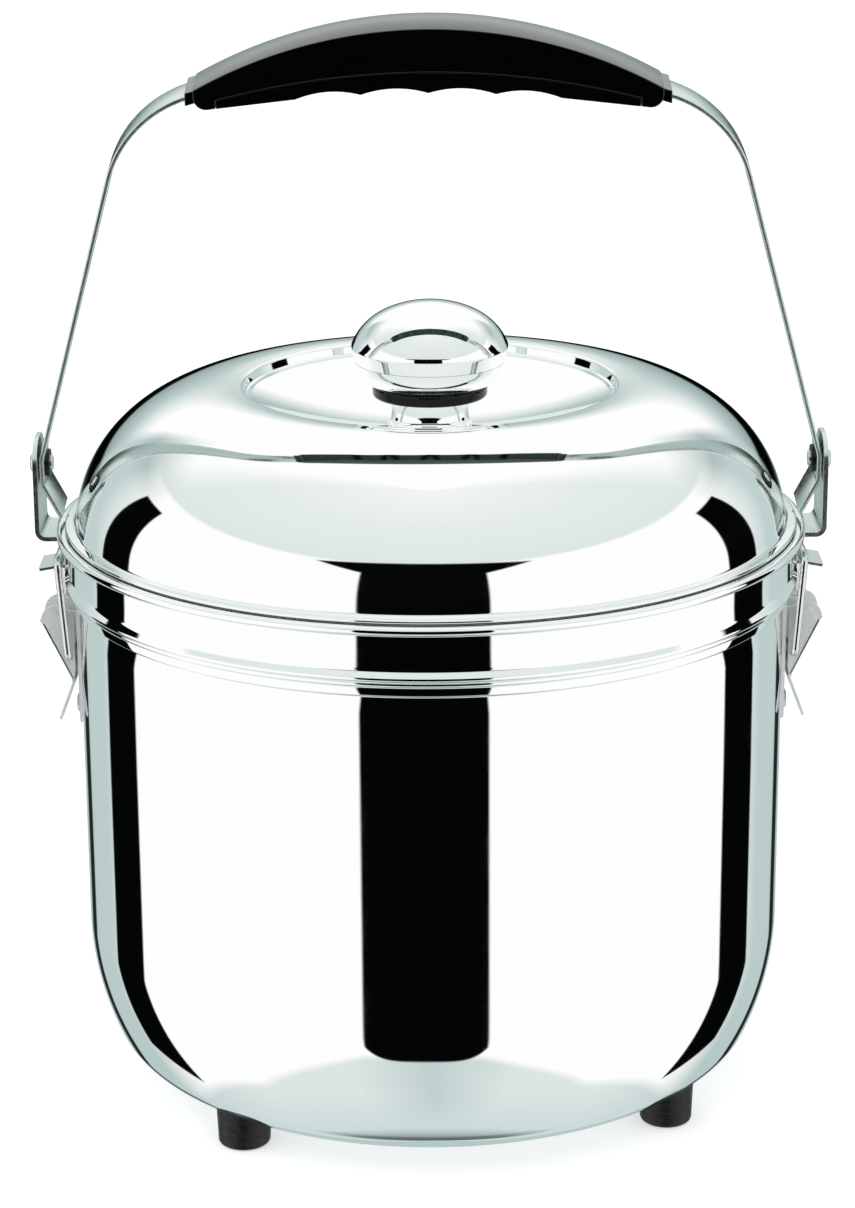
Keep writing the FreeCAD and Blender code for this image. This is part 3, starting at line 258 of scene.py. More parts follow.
def sweep(path, section):
    """A section drawn as (side, out) offsets, carried along a 3-D path given as (point, side, out)."""
    bm = bmesh.new()
    rings = []
    for point, side, out in path:
        rings.append([bm.verts.new(point + side * across + out * away) for across, away in section])
    return skinned(rings, bm)


def flat_path(line):
    """A path in the XZ plane for sweep(), whose section lies across it."""
    return [(Vector((u, 0, v)), Vector((0, 1, 0)), Vector((nu, 0, nv)))
            for (u, v), (nu, nv) in zip(line, normals(line))]


def rounded_section(half, thickness, radius, steps=3):
    """A flat strip's section, from its face down to its back, with rounded edges."""
    corners = [(-half, 0, radius), (half, 0, radius), (half, thickness, radius), (-half, thickness, radius)]
    return tidy(bend(corners, steps, closed=True))


def round_section(radius, steps=16):
    return [polar(0, 0, radius, 360 * step / steps) for step in range(steps)]


def moved(bm, matrix):
    bmesh.ops.transform(bm, matrix=matrix, verts=bm.verts)
    return bm


def mirrored(bm, side):
    """The piece as drawn on the right, or its mirror image on the left."""
    if side < 0:
        bmesh.ops.transform(bm, matrix=Matrix.Scale(-1, 4, Vector((1, 0, 0))), verts=bm.verts)
    return bm


def bail_place():
    """Where the bail's own upright drawing stands, leaning to the front about its pivot."""
    lean = Matrix.Rotation(bpy.context.scene.casserole_bail.lean, 4, "X")
    return Matrix.Translation((0, 0, BAIL_PIVOT_Z / MM)) @ lean


# Finishes


def linear(colour):
    """An sRGB hex colour as linear values."""
    values = []
    for index in (1, 3, 5):
        share = int(colour[index:index + 2], 16) / 255
        values.append(share / 12.92 if share <= 0.04045 else ((share + 0.055) / 1.055) ** 2.4)
    return (*values, 1.0)


def add_node(tree, kind, inputs=None, **settings):
    """Add one shader node with its inputs as values, sockets or nodes, its properties and a ramp's stops."""
    node = tree.nodes.new("ShaderNode" + kind)
    for key, value in settings.items():
        if key == "stops":
            ends = node.color_ramp.elements
            ends[0].position, ends[0].color = value[0]
            ends[-1].position, ends[-1].color = value[-1]
            for place, colour in value[1:-1]:
                ends.new(place).color = colour
        else:
            setattr(node, key, value)
    for key, value in (inputs or {}).items():
        if isinstance(value, bpy.types.Node):
            value = value.outputs[0]
        if isinstance(value, bpy.types.NodeSocket):
            tree.links.new(value, node.inputs[key])
        else:
            node.inputs[key].default_value = value
    return node


def new_material(name):
    material = bpy.data.materials.new(name)
    material.use_nodes = True
    material.node_tree.nodes.clear()
    return material, material.node_tree


def grain(tree, scale, detail, low, high, stretch=(1.0, 1.0, 1.0)):
    """Noise in object space between two values: its scale is in grains to the metre."""
    place = add_node(tree, "TexCoord")
    mapped = add_node(tree, "Mapping", {"Scale": stretch, "Vector": place.outputs["Object"]})
    noise = add_node(tree, "TexNoise", {"Scale": scale, "Detail": detail, "Roughness": 0.55, "Vector": mapped})
    return noise, between(tree, noise, 0.3, 0.7, low, high)


METAL = {"Metallic": 1.0}
# Each finish has a name, a colour as hex or as one of the settings, the shader's other inputs, its grain (grains
# to the metre, detail, least and most roughness, stretch) and the depth of its bump in millimetres
FINISHES = {
    # Buffed 304 stainless sheet: a true mirror with the faintest haze left by the buffing wheel
    "steel_polished": ("stainless sheet, mirror buffed", "steel", METAL, (55.0, 4.0, 0.018, 0.04), 0.0015),
    # Pressed stainless strip, tumbled bright: reflections stay but lose their edges, and look greyer
    "strip": ("stainless strip, tumbled", "#dbe4e2", METAL, (380.0, 2.0, 0.22, 0.28), 0.0008),
    # Pressed stainless sheet, bead blasted: pale and even, with no clear reflections
    "lever": ("stainless sheet, bead blasted", "#fafdfc", METAL, (1400.0, 3.0, 0.62, 0.72), 0.006),
    # Stainless sheet as spun and scoured: soft rings of fine scratches, drawn about one to the millimetre to show
    "steel_satin": ("stainless sheet, scoured satin", "#dcdcda", METAL, (900.0, 3.0, 0.22, 0.34, (0.15, 0.15, 1.0)),
                    0.004),
    # Hard drawn stainless wire: bright, with long die marks
    "steel_wire": ("stainless wire, bright drawn", "#e6e6e4", METAL, (700.0, 2.0, 0.07, 0.14, (1.0, 1.0, 0.1)),
                   0.003),
    # Zinc plated steel screws: dull silver with a cloudy passivated skin
    "zinc_screws": ("steel screw, zinc plated", "#c3c6c4", METAL, (1500.0, 3.0, 0.28, 0.45), 0.004),
    # Black nitrile rubber feet: waxy black with moulded flow lines and scuffs a few millimetres apart
    "foot_rubber": ("nitrile rubber, moulded", "rubber", {"IOR": 1.5, "Specular IOR Level": 0.3},
                    (420.0, 6.0, 0.15, 0.45, (0.5, 0.5, 1.6)), 0.5),
    # Milky silicone rubber of the lid's seal: soft, pale and a little see-through
    "silicone_seal": ("silicone rubber, moulded milky", "#e4e6e2",
                      {"IOR": 1.41, "Subsurface Weight": 0.15, "Subsurface Scale": 0.002},
                      (1800.0, 2.0, 0.35, 0.5), 0.006),
    # Turned black nylon washers: waxy with fine tool rings
    "washer_nylon": ("nylon, turned black", "#0b0b0c", {"IOR": 1.53}, (3000.0, 2.0, 0.35, 0.5), 0.008),
    # Black ABS moulded in a polished tool: deep black, glassy at a low angle, with faint flow marks
    # Its green-grey specular tint is painted reflection: the studio's tint painted into the top face's sheen
    "grip_plastic": ("ABS, moulded glossy black", "plastic",
                     {"IOR": 1.54, "Specular Tint": "#c2ece6", "Coat Weight": 0.7, "Coat IOR": 1.4,
                      "Coat Roughness": 0.1}, (260.0, 3.0, 0.1, 0.17), 0.003),
    # Compression moulded black phenolic, polished: glassy black with hard bright edges
    "knob_bakelite": ("phenolic, pressed and polished", "#030303", {"IOR": 1.6, "Specular IOR Level": 0.18},
                      (400.0, 2.0, 0.03, 0.07), 0.001),
    # Rigid polyurethane foam poured between the sheets: yellowish, matt, with cells of about 0.4 mm
    "insulation_foam": ("polyurethane foam, poured", "#e7d9a8", {"IOR": 1.5}, (2400.0, 5.0, 0.8, 0.95), 0.15),
}
MADE = {}


def finish(key):
    """One finish's material, made once."""
    if key not in MADE:
        name, colour, traits, pattern, depth = FINISHES[key]
        colour = getattr(bpy.context.scene.casserole_finish, colour, colour)
        MADE[key], tree = new_material(name)
        height, rough = grain(tree, *pattern)
        bump = add_node(tree, "Bump", {"Strength": 1.0, "Distance": depth * MM, "Height": height})
        inputs = {"Base Color": colour, **traits}
        inputs = {trait: linear(value) if isinstance(value, str) else value for trait, value in inputs.items()}
        shader = add_node(tree, "BsdfPrincipled", {**inputs, "Roughness": rough, "Normal": bump})
        add_node(tree, "OutputMaterial", {"Surface": shader})
    return MADE[key]


# The studio as the steel shows it: tones by degrees above the horizon, and of the table by degrees round it

TENT = {
    # under: the table straight below, darkening into painted shadow of the floor under the pot
    "under": [(-90, "#4c5655"), (-78, "#6f7b7a"), (-69, "#cddbdc")],
    "front": [(29.5, "#ffffff"), (31, "#dee8e6"), (60, "#e6edeb"), (90, "#f4f6f5")],
    "side": [(-55, "#cddbdc"), (-40, "#b6c8c6"), (-8, "#c0d0d0"), (18, "#c0d0d0"), (25, "#aec1be"), (40, "#ffffff")],
    "back": [(-14, "#b6c8c6"), (-10, "#3c4242"), (-8, "#040505"), (0.5, "#040505"), (2, "#93a5a2"), (11, "#b9cac8"),
             (15, "#dce5e4"), (20, "#ffffff")],
}
# The table's grey-greens, greyest at the front and back, are painted shade of the white floor near the pot
TABLE = [(0, "#c2d0d0"), (30, "#dde6e5"), (75, "#dde6e5"), (120, "#c9d5d5"), (140, "#b8c8c8")]
DARK = "#040505"


def toned(tree, stops, low, high, degrees):
    """Tones given as (degrees, colour) between two ends."""
    share = add_node(tree, "MapRange", {"From Min": low, "From Max": high, "Value": degrees})
    stops = [((place - low) / (high - low), linear(colour)) for place, colour in stops]
    return add_node(tree, "ValToRGB", {"Fac": share}, stops=stops)


def past(tree, value, edge, soft=0.8):
    """One where a value is past an edge and nought before it, over a soft step in degrees."""
    gap = add_node(tree, "Math", {0: value, 1: edge}, operation="SUBTRACT")
    return add_node(tree, "MapRange", {"From Min": -soft / 2, "From Max": soft / 2, "Value": gap})


def between(tree, value, low, high, start, end):
    """A value that runs from one end to another as a first one goes from low to high."""
    return add_node(tree, "MapRange", {"From Min": low, "From Max": high, "To Min": start, "To Max": end,
                                       "Value": value})


def off_centre(tree, turn, shift):
    """Degrees to either side of a direction."""
    off = add_node(tree, "Math", {0: turn, 1: shift}, operation="ADD")
    return add_node(tree, "Math", {0: off}, operation="ABSOLUTE")


def over(tree, below, above, share):
    """One colour laid over another."""
    above = linear(above) if isinstance(above, str) else above
    return add_node(tree, "Mix", {0: share, 6: below, 7: above}, data_type="RGBA").outputs[2]


def both(tree, *masks):
    """Where all the masks hold."""
    result = masks[0]
    for mask in masks[1:]:
        result = add_node(tree, "Math", {0: result, 1: mask}, operation="MULTIPLY")
    return result


def either(tree, first, second):
    return add_node(tree, "Math", {0: first, 1: second}, operation="MAXIMUM")


# Settings


def length(name, description, millimetres):
    return bpy.props.FloatProperty(name=name, description=description, default=millimetres * MM,
                                   unit="LENGTH", subtype="DISTANCE", precision=4)


def angle(name, description, degrees):
    return bpy.props.FloatProperty(name=name, description=description, default=math.radians(degrees),
                                   unit="ROTATION", subtype="ANGLE")


def hex_colour(name, description, default):
    return bpy.props.StringProperty(name=name, description=description, default=default, maxlen=7)


class CasseroleFinish(bpy.types.PropertyGroup):
    steel: hex_colour("Steel", "Colour of the buffed steel, as sRGB hex", "#fdfefd")
    plastic: hex_colour("Grip plastic", "Colour of the grip, as sRGB hex", "#040405")
    rubber: hex_colour("Rubber", "Colour of the feet, as sRGB hex", "#0c0d0d")


class CasseroleVessel(bpy.types.PropertyGroup):
    wall_r: length("Wall radius", "Outer radius of the vessel's wall", 116.7)
    base_z: length("Base height", "Height of the vessel's flat base above the table", 8.6)
    corner_r: length("Base corner", "Radius where the base turns up", 14.5)
    taper_r: length("Taper", "Radius of the long curve into the wall", 90.6)
    crease_z: length("Crease height", "Height where the wall meets the raised band", 165.7)
    foot_circle: length("Foot circle", "Radius of the circle that the feet stand on", 98.0)
    foot_turn: angle("Foot turn", "How far the feet are turned round from the diagonals", 6.0)


class CasserolePot(bpy.types.PropertyGroup):
    wall_r: length("Pot radius", "Outer radius of the pot below its shelf", 104.0)
    collar_r: length("Collar radius", "Outer radius of the upright collar", 119.6)
    shelf_z: length("Shelf height", "Underside of the shelf that hangs in the vessel", 171.3)
    collar_top: length("Collar top", "Height where the collar turns into the rolled rim", 185.6)
    ear_face: length("Ear face", "Distance of the ears' outer faces from the axis", 129.5)


class CasseroleLatch(bpy.types.PropertyGroup):
    lever_half: length("Lever half width", "Half the outer width of the lever's channel", 7.0)
    wire_r: length("Wire radius", "Radius of the loop's wire", 1.25)
    leg_half: length("Loop half width", "Distance of the loop's legs from the middle", 9.4)


class CasseroleBail(bpy.types.PropertyGroup):
    lean: angle("Lean", "How far the bail leans to the front", 8.0)
    strip_half: length("Strip half width", "Half the width of the flat strip", 8.0)
    strip_t: length("Strip thickness", "Thickness of the flat strip", 1.5)
    arch_top: length("Arch height", "Height of the strip's arch above the pivot", 137.0)
    grip_half: length("Grip half length", "Half the length of the grip", 73.0)
    grip_half_w: length("Grip half width", "Half the width of the grip", 10.0)
    grip_crown: length("Grip crown", "How much the grip's top falls to its edges", 0.7)


class CasseroleLid(bpy.types.PropertyGroup):
    flange_r: length("Flange radius", "Outer radius of the lid's hem", 120.2)
    flange_z: length("Flange height", "Underside of the lid's hem", 189.4)
    dome_r: length("Dome radius", "Radius of the arc up the lid's side", 46.4)
    crown_r: length("Crown radius", "Radius of the arc over the lid's crest", 51.4)
    dish_r: length("Dish radius", "Radius of the dished floor's sphere", 171.0)


class CasseroleKnob(bpy.types.PropertyGroup):
    stem_r: length("Stem radius", "Radius of the polished stem", 13.9)
    stem_h: length("Stem height", "Height of the stem above the middle of the dished lid", 9.6)
    ring_r: length("Ring radius", "Radius of the black ring", 18.8)
    ring_h: length("Ring height", "Thickness of the black ring", 4.0)
    cap_r: length("Cap radius", "Widest radius of the cap", 25.6)
    cap_h: length("Cap height", "Height of the cap's widest place above the ring", 12.4)
    edge_r: length("Cap edge", "Radius of the cap's rounded edge", 2.9)


class CasseroleStage(bpy.types.PropertyGroup):
    view_drop: angle("View angle", "How far the camera looks down", 17.2)
    distance: length("Camera distance", "Distance of the camera from the vessel's axis", 1077.7)
    lens: bpy.props.FloatProperty(name="Lens", description="Focal length", default=96.35, unit="CAMERA")
    lamp: bpy.props.FloatProperty(name="Lamp power", description="Power of the soft lamp", default=3.0, unit="POWER")


GROUPS = {"casserole_" + group.__name__.removeprefix("Casserole").lower(): group for group in (
    CasseroleFinish, CasseroleVessel, CasserolePot, CasseroleLatch, CasseroleBail, CasseroleLid, CasseroleKnob,
    CasseroleStage)}


def sizes(name):
    """A settings group's lengths in millimetres and its angles in degrees."""
    group = getattr(bpy.context.scene, "casserole_" + name)
    values = {}
    for name, rna in group.bl_rna.properties.items():
        if getattr(rna, "unit", "NONE") == "LENGTH":
            values[name] = getattr(group, name) / MM
        elif getattr(rna, "unit", "NONE") == "ROTATION":
            values[name] = math.degrees(getattr(group, name))
    return values


# Outlines that more than one piece uses


def vessel_side(steps=24):
    """The vessel's outer side from the middle of the base up to the crease."""
    s = sizes("vessel")
    taper = 24.0
    step = s["taper_r"] - s["corner_r"]
    flat = s["wall_r"] - s["taper_r"] + step * math.cos(math.radians(taper))
    centre_z = s["base_z"] + s["corner_r"] + step * math.sin(math.radians(taper))
    line = [(0, s["base_z"]), (flat, s["base_z"])]
    line += arc(flat, s["base_z"] + s["corner_r"], s["corner_r"], -90, -taper, steps)
    line += arc(s["wall_r"] - s["taper_r"], centre_z, s["taper_r"], -taper, 0, steps)
    return line + [(s["wall_r"], s["crease_z"])]


def side_height(radius):
    """The height of the vessel's underside at a distance from its axis."""
    line = vessel_side()
    for low, high in zip(line, line[1:]):
        if low[0] <= radius <= high[0] and high[0] > low[0]:
            return low[1] + (high[1] - low[1]) * (radius - low[0]) / (high[0] - low[0])
    return line[-1][1]


def arch_height(x, below=0.0):
    """The height above the pivot of the strip's arch, or of a line below it."""
    top = sizes("bail")["arch_top"]
    return top - ARCH_R + math.sqrt((ARCH_R - below) ** 2 - x * x)


def dish_height(r, below=0.0):
    """The height of the lid's dished floor, or of a face under it."""
    radius = sizes("lid")["dish_r"]
    edge_r, edge_z = DISH_EDGE
    return edge_z + math.sqrt(radius ** 2 - edge_r ** 2) - math.sqrt((radius + below) ** 2 - r * r)


# Operators


class BuildVessel(bpy.types.Operator):
    """Build the buffed outer shell and the liner with its rim bead"""
    bl_idname = "casserole.vessel"
    bl_label = "Vessel"

    def execute(self, context):
        s = sizes("vessel")
        band_r = s["wall_r"] + 1.3
        top = s["crease_z"] + 3.5
        line = vessel_side()[:-1] + bend([(s["wall_r"], s["crease_z"] - 6), (s["wall_r"], s["crease_z"], 0.6),
                                          (band_r, s["crease_z"] + 0.5, 0.3), (band_r, top, 0.9), (110.0, top)])
        finished_piece("outer_shell_buffed", lathe(sheet_outline(line, 0.5)), "root", "steel_polished",
                       ["outer_shell"])
        liner = bend([(0, 20.0), (107.0, 20.0, 18.0), (107.0, top, 1.0), (band_r + 0.7, top)], 10)
        bm = lathe(sheet_outline(liner, 0.5))
        bm = lathe(arc(band_r + 0.7, top + 1.0, 1.0, 0, 345, 23), bm=bm)
        finished_piece("liner_with_bead", bm, "root", "steel_satin", ["vessel_liner"], "steel_polished")
        return {"FINISHED"}


class BuildFeet(bpy.types.Operator):
    """Build the four rubber feet, each with a bore for its screw"""
    bl_idname = "casserole.feet"
    bl_label = "Feet"

    def execute(self, context):
        s = sizes("vessel")
        for step, name in enumerate(("rear_right", "rear_left", "front_left", "front_right")):
            degrees = 45 + 90 * step + s["foot_turn"]
            centre = polar(0, 0, s["foot_circle"], degrees)
            line = bend([(4.2, 4.4), (4.2, 0, 0.6), (8.4, 0, 1.6), (9.3, 24.0)], 6)
            bm = lathe([(2.2, 4.4)] + line, closed=False, turns=64, centre=centre)
            for vert in bm.verts:
                if vert.co.z > 6.0:
                    roof = side_height(math.hypot(vert.co.x, vert.co.y))
                    vert.co.z = min(vert.co.z, roof)
            name = "foot_" + name
            finished_piece(name + "_moulded", bm, "root", "foot_rubber", [name])
        return {"FINISHED"}


class BuildPot(bpy.types.Operator):
    """Build the inner pot with its shelf, collar and rolled rim"""
    bl_idname = "casserole.pot"
    bl_label = "Inner pot"

    def execute(self, context):
        s = sizes("pot")
        collar, shelf, top = s["collar_r"], s["shelf_z"], s["collar_top"]
        inner = collar - 0.7
        outside = bend([(0, 26.0), (s["wall_r"], 26.0, 25.0), (s["wall_r"], shelf, 1.6), (collar + 1.4, shelf, 0.9),
                        (collar + 1.4, shelf + 1.3, 0.8), (collar, shelf + 3.4, 2.5), (collar, top)], 8)
        rim = bend([(collar, top - 0.3), (collar, top + 0.5, 0.5), (collar + 2.1, top + 0.5)], 5)
        rim += arc(collar + 2.1, top + 2.0, 1.5, -90, 90, 16)
        rim += arc(inner + 1.5, top + 2.0, 1.5, 90, 180, 8)
        inside = offset(tidy(outside), 0.7)[::-1]
        outline = tidy(outside[:-1] + rim + inside)
        finished_piece("inner_pot_buffed", lathe(outline), "root", "steel_polished",
                       ["inner_pot"])
        return {"FINISHED"}


def collar_patch(inner_r, thickness, half, low, high, corner):
    """A plate with rounded corners bent round a wall, on the right."""
    outline = bend([(-half, low, corner), (half, low, corner), (half, high, corner), (-half, high, corner)],
                   6, closed=True)
    columns = 16
    bm = bmesh.new()
    radii = (inner_r, inner_r + thickness)
    rims = [[bm.verts.new((math.sqrt(radius ** 2 - y * y), y, z)) for y, z in outline] for radius in radii]
    skinned(rims, bm, ends=False)
    for rim, radius in zip(rims, radii):
        face = bm.faces.new(rim)
        geometry = [face] + list(face.edges) + list(face.verts)
        for column in range(1, columns):
            y = -half + 2 * half * column / columns
            cut = bmesh.ops.bisect_plane(bm, geom=geometry, plane_co=(0, y, 0), plane_no=(0, 1, 0))
            for item in cut["geom_cut"]:
                if isinstance(item, bmesh.types.BMVert):
                    item.co.x = math.sqrt(radius ** 2 - item.co.y ** 2)
            geometry = cut["geom"]
    return bm


def rivet(shank_r, head, tail, z):
    """A rivet along X on the right: head and tail are each (radius, seat, end, edge radius)."""
    head_r, seat, end, head_edge = head
    tail_r, tail_seat, tail_end, tail_edge = tail
    line = bend([(0, tail_end), (tail_r, tail_end, tail_edge), (tail_r, tail_seat), (shank_r, tail_seat),
                 (shank_r, seat), (head_r, seat), (head_r, end, head_edge), (0, end)], 8)
    lying = moved(lathe(line, closed=False, turns=48), Matrix.Rotation(math.radians(90), 4, "Y"))
    return moved(lying, Matrix.Translation((0, 0, z)))


class BuildCatches(bpy.types.Operator):
    """Build the catches on the collar, the bail's ears and their rivets"""
    bl_idname = "casserole.catches"
    bl_label = "Catches and ears"

    def execute(self, context):
        s = sizes("pot")
        pivot = BAIL_PIVOT_Z / MM
        collar, face = s["collar_r"], s["ear_face"]
        plate_t, plate_h, tab_half, tab_fall = 1.2, 9.6, 7.75, 1.181
        ear_z, ear_rise = 184.6, 9.3
        for side, sign in SIDES.items():
            plate = collar_patch(collar, plate_t, 10.0, TAB_Z, TAB_Z + plate_h, 2.0)
            finished_piece("catch_plate_" + side, mirrored(plate, sign), "root", "steel_polished",
                           ["catch_" + side], "strip", bevel=0.25)
            line = bend([(collar - 0.3, TAB_Z), (collar + 2.9, TAB_Z, 3.0), (collar + 9.6, TAB_Z - tab_fall)], 5)
            tab = pull(sheet_outline(line, plate_t), -tab_half, tab_half)
            finished_piece("catch_tab_" + side, mirrored(tab, sign), "root", "steel_polished", look="strip",
                           bevel=0.3)
            line = bend([(collar - 0.2, ear_z), (face, ear_z, 3.5), (face, pivot + ear_rise)], 8)
            finished_piece("ear_bent_" + side, mirrored(self.ear(line), sign), "root", "steel_polished",
                           ["ear_" + side], "strip", bevel=0.3)
            whole = rivet(1.9, (3.1, face, face + 2.0, 1.4), (2.6, face - 4.6, face - 5.5, 0.45), pivot)
            finished_piece("bail_rivet_headed_" + side, mirrored(whole, sign), "root", "steel_polished",
                           ["bail_rivet_" + side], "strip")
        return {"FINISHED"}

    def ear(self, line):
        """The bent strip; its upright leg narrows to a round top."""
        half, corner, thickness = 12.0, 9.3, 1.5
        base = line[-2][1]
        face, top = line[-1]
        shoulder = top - corner
        rows = tidy(line[:-1])
        rows += [(face, base + (shoulder - base) * step / 24) for step in range(1, 25)]
        rows += [(face, shoulder + corner * math.sin(math.radians(90 * step / 16))) for step in range(1, 17)]
        bm = bmesh.new()
        rings = []
        for point, normal in zip(rows, normals(rows)):
            rise = max(0.0, point[1] - shoulder) if point[0] > face - 0.01 else 0.0
            width = half - corner + math.sqrt(max(0.0, corner ** 2 - rise ** 2))
            rings.append(strip_ring(bm, point, normal, width, thickness))
        return skinned(rings, bm)


class BuildLatches(bpy.types.Operator):
    """Build the levers and wire loops of both toggle latches, and the rivets of their base plates"""
    bl_idname = "casserole.latches"
    bl_label = "Toggle latches"

    def execute(self, context):
        s = sizes("latch")
        wall = sizes("vessel")["wall_r"]
        pivot_x, _, pivot_z = (value / MM for value in LEVER_PIVOT)
        hole_x, _, hole_z = (value / MM for value in LOOP_HOLE)
        rivets = bmesh.new()
        for side, sign in SIDES.items():
            finished_piece("lever_channel_" + side, mirrored(self.lever(s, pivot_x, pivot_z), sign),
                           "lever_" + side, "steel_polished", ["lever_" + side], "lever", bevel=0.25)
            finished_piece("loop_wire_" + side, mirrored(self.loop(s, hole_x, hole_z), sign),
                           "loop_" + side, "steel_wire", ["loop_" + side])
            for z in (125.0, 141.0):
                one = rivet(1.6, (3.2, wall + 1.2, wall + 2.3, 0.75), (2.4, wall - 0.6, wall - 2.6, 0.6), z)
                mesh = bpy.data.meshes.new("rivet")
                mirrored(one, sign).to_mesh(mesh)
                one.free()
                rivets.from_mesh(mesh)
                bpy.data.meshes.remove(mesh)
        finished_piece("latch_rivets_headed", rivets, "root", "steel_polished", ["latch_base_rivets"], "strip")
        return {"FINISHED"}

    def lever(self, s, pivot_x, pivot_z):
        """A channel: a web bent at the knee, with a rounded tip, and a flange on each side of the pin."""
        half, sheet, cheek_r, corner = s["lever_half"], 1.0, 5.5, 3.5
        face = pivot_x + cheek_r
        knee = (face - 10.0, pivot_z - 21.1)
        tip = (knee[0] + 5.5, knee[1] - 14.4)
        rows = short_steps(tidy(bend([(face, pivot_z), (*knee, 4.0), tip], 8)), False, 1.5)
        lengths = [0.0]
        for first, second in zip(rows, rows[1:]):
            lengths.append(lengths[-1] + math.dist(first, second))
        bm = bmesh.new()
        rings = []
        for point, normal, along in zip(rows, normals(rows), lengths):
            left = lengths[-1] - along
            width = half
            if left < corner:
                width = half - corner + math.sqrt(max(0.0, corner ** 2 - (corner - left) ** 2))
            rings.append(strip_ring(bm, point, normal, width, -sheet))
        skinned(rings, bm)
        flange = arc(pivot_x, pivot_z, cheek_r, 180, 0, 16)
        flange += [(knee[0] - 0.2, knee[1]), (pivot_x - cheek_r, pivot_z - 17.7)]
        for low, high in ((half - sheet, half), (-half, sheet - half)):
            pull(flange, low, high, bm)
        return bm

    def loop(self, s, hole_x, hole_z):
        """The wire from one hole of the lever round over the catch and back to the other hole."""
        bar_x, bar_z = 123.0, 176.95
        corner = 2.6
        rise = math.dist((bar_x, bar_z), (hole_x, hole_z))
        legs = s["leg_half"]
        line = tidy(bend([(-5.0, 0), (-legs, 0, corner), (-legs, rise, corner), (legs, rise, corner),
                          (legs, 0, corner), (5.0, 0)], 8))
        path = [(Vector((0, u, v)), Vector((1, 0, 0)), Vector((0, nu, nv)))
                for (u, v), (nu, nv) in zip(line, normals(line))]
        lean = Matrix.Rotation(math.atan2(bar_x - hole_x, bar_z - hole_z), 4, "Y")
        wire = sweep(path, round_section(s["wire_r"], 20))
        return moved(wire, Matrix.Translation((hole_x, 0, hole_z)) @ lean)


class BuildBail(bpy.types.Operator):
    """Build the flat steel strip of the bail"""
    bl_idname = "casserole.bail"
    bl_label = "Bail strip"

    def execute(self, context):
        s = sizes("bail")
        line = self.half_line(sizes("pot")["ear_face"] - 1.8)
        line = line + [(-x, z) for x, z in line[::-1]][1:]
        bm = sweep(flat_path(tidy(line)), rounded_section(s["strip_half"], s["strip_t"], 0.35))
        finished_piece("bail_strip_tumbled", moved(bm, bail_place()), "bail", "steel_polished", ["bail_strip"],
                       "strip")
        return {"FINISHED"}

    def half_line(self, face):
        """The strip's outer face from the right tip to the top of the arch."""
        half, knee_z = 75.0, 4.0
        end = arch_height(half)
        slope = math.asin(half / ARCH_R)
        lean = math.radians(15.4)
        leg = (-math.sin(lean), math.cos(lean))
        along = (math.cos(slope), -math.sin(slope))
        cross = leg[0] * along[1] - leg[1] * along[0]
        gap = (half - face, end - knee_z)
        reach = (gap[0] * along[1] - gap[1] * along[0]) / cross
        meet = (face + leg[0] * reach, knee_z + leg[1] * reach)
        radius = math.dist(meet, (half, end)) * math.tan((math.pi / 2 + lean + slope) / 2)
        line = bend([(face - 5.5, -16.5), (face, -5.0, 5.0), (face, knee_z, 12.0), (*meet, radius), (half, end)], 16)
        line = short_steps(tidy(line), False, 6.0)
        line += [(half * (1 - step / 40), arch_height(half * (1 - step / 40))) for step in range(1, 41)]
        return line


class BuildGrip(bpy.types.Operator):
    """Build the grip: its upper moulding and the lower one with the finger grooves"""
    bl_idname = "casserole.grip"
    bl_label = "Grip"

    def execute(self, context):
        s = sizes("bail")
        half, wide = s["grip_half"], s["grip_half_w"]
        over_arch, parting, end_drop, heel_r = 10.9, 3.4, 8.7, 4.0
        ends = half - 7.0
        low = self.belly(half)
        drop = end_drop + ARCH_R - math.sqrt(ARCH_R ** 2 - half ** 2)
        crest_r = (half ** 2 + drop ** 2) / (2 * drop)
        layers = []
        for share in (-1, -0.97, -0.9, -0.75, -0.5, -0.25, 0, 0.25, 0.5, 0.75, 0.9, 0.97, 1):
            top = s["arch_top"] + over_arch - s["grip_crown"] * share ** 2
            crest = [(x, top - crest_r + math.sqrt(crest_r ** 2 - x * x)) for x in self.steps(half, -half, 48)]
            cover = crest + bend([crest[-1], (-half, low, heel_r), (-ends, self.belly(ends))], 6)[1:]
            cover += [(x, arch_height(x, parting)) for x in self.steps(-ends, ends, 40)]
            cover += bend([(ends, self.belly(ends)), (half, low, heel_r), crest[0]], 6)[:-1]
            layers.append((wide * share, cover))
        bm = stacked(layers)
        inner, outer, under, over, nub_half = half - 1, half + 2.6, 2.7, -1.2, 9.2
        corners = ((inner, under), (outer, under), (outer, over), (inner, over))
        for sign in (1, -1):
            pull([(sign * x, arch_height(x, below)) for x, below in corners], -nub_half, nub_half, bm)
        finished_piece("grip_cover_moulded", moved(bm, bail_place()), "bail", "grip_plastic", ["grip_cover"],
                       bevel=0.6, bevel_steps=3)
        ends -= 0.1
        insert = [(x, arch_height(x, parting + 0.12)) for x in self.steps(ends, -ends, 40)]
        belly_z = self.belly(ends + 0.1)
        insert += [(-ends, belly_z)] + self.grooves() + [(ends, belly_z)]
        bm = moved(pull(insert, -wide, wide), bail_place())
        finished_piece("grip_insert_moulded", bm, "bail", "grip_plastic", ["grip_insert"], bevel=0.12)
        return {"FINISHED"}

    def steps(self, start, end, count):
        return [start + (end - start) * step / count for step in range(count + 1)]

    def belly(self, x):
        """The height of the grip's underside above the pivot."""
        middle, radius = 127.0, 470.0
        return middle - radius + math.sqrt(radius ** 2 - x * x)

    def grooves(self):
        """The finger grooves from left to right, each a shallow arc between two cusps."""
        edges, depth = [-41.3, -21.0, 0.0, 21.0, 41.3], 1.7
        points = []
        for start, end in zip(edges, edges[1:]):
            for step in range(12):
                share = step / 12
                chord = self.belly(start) + (self.belly(end) - self.belly(start)) * share
                points.append((start + (end - start) * share, chord + depth * 4 * share * (1 - share)))
        return points + [(edges[-1], self.belly(edges[-1]))]


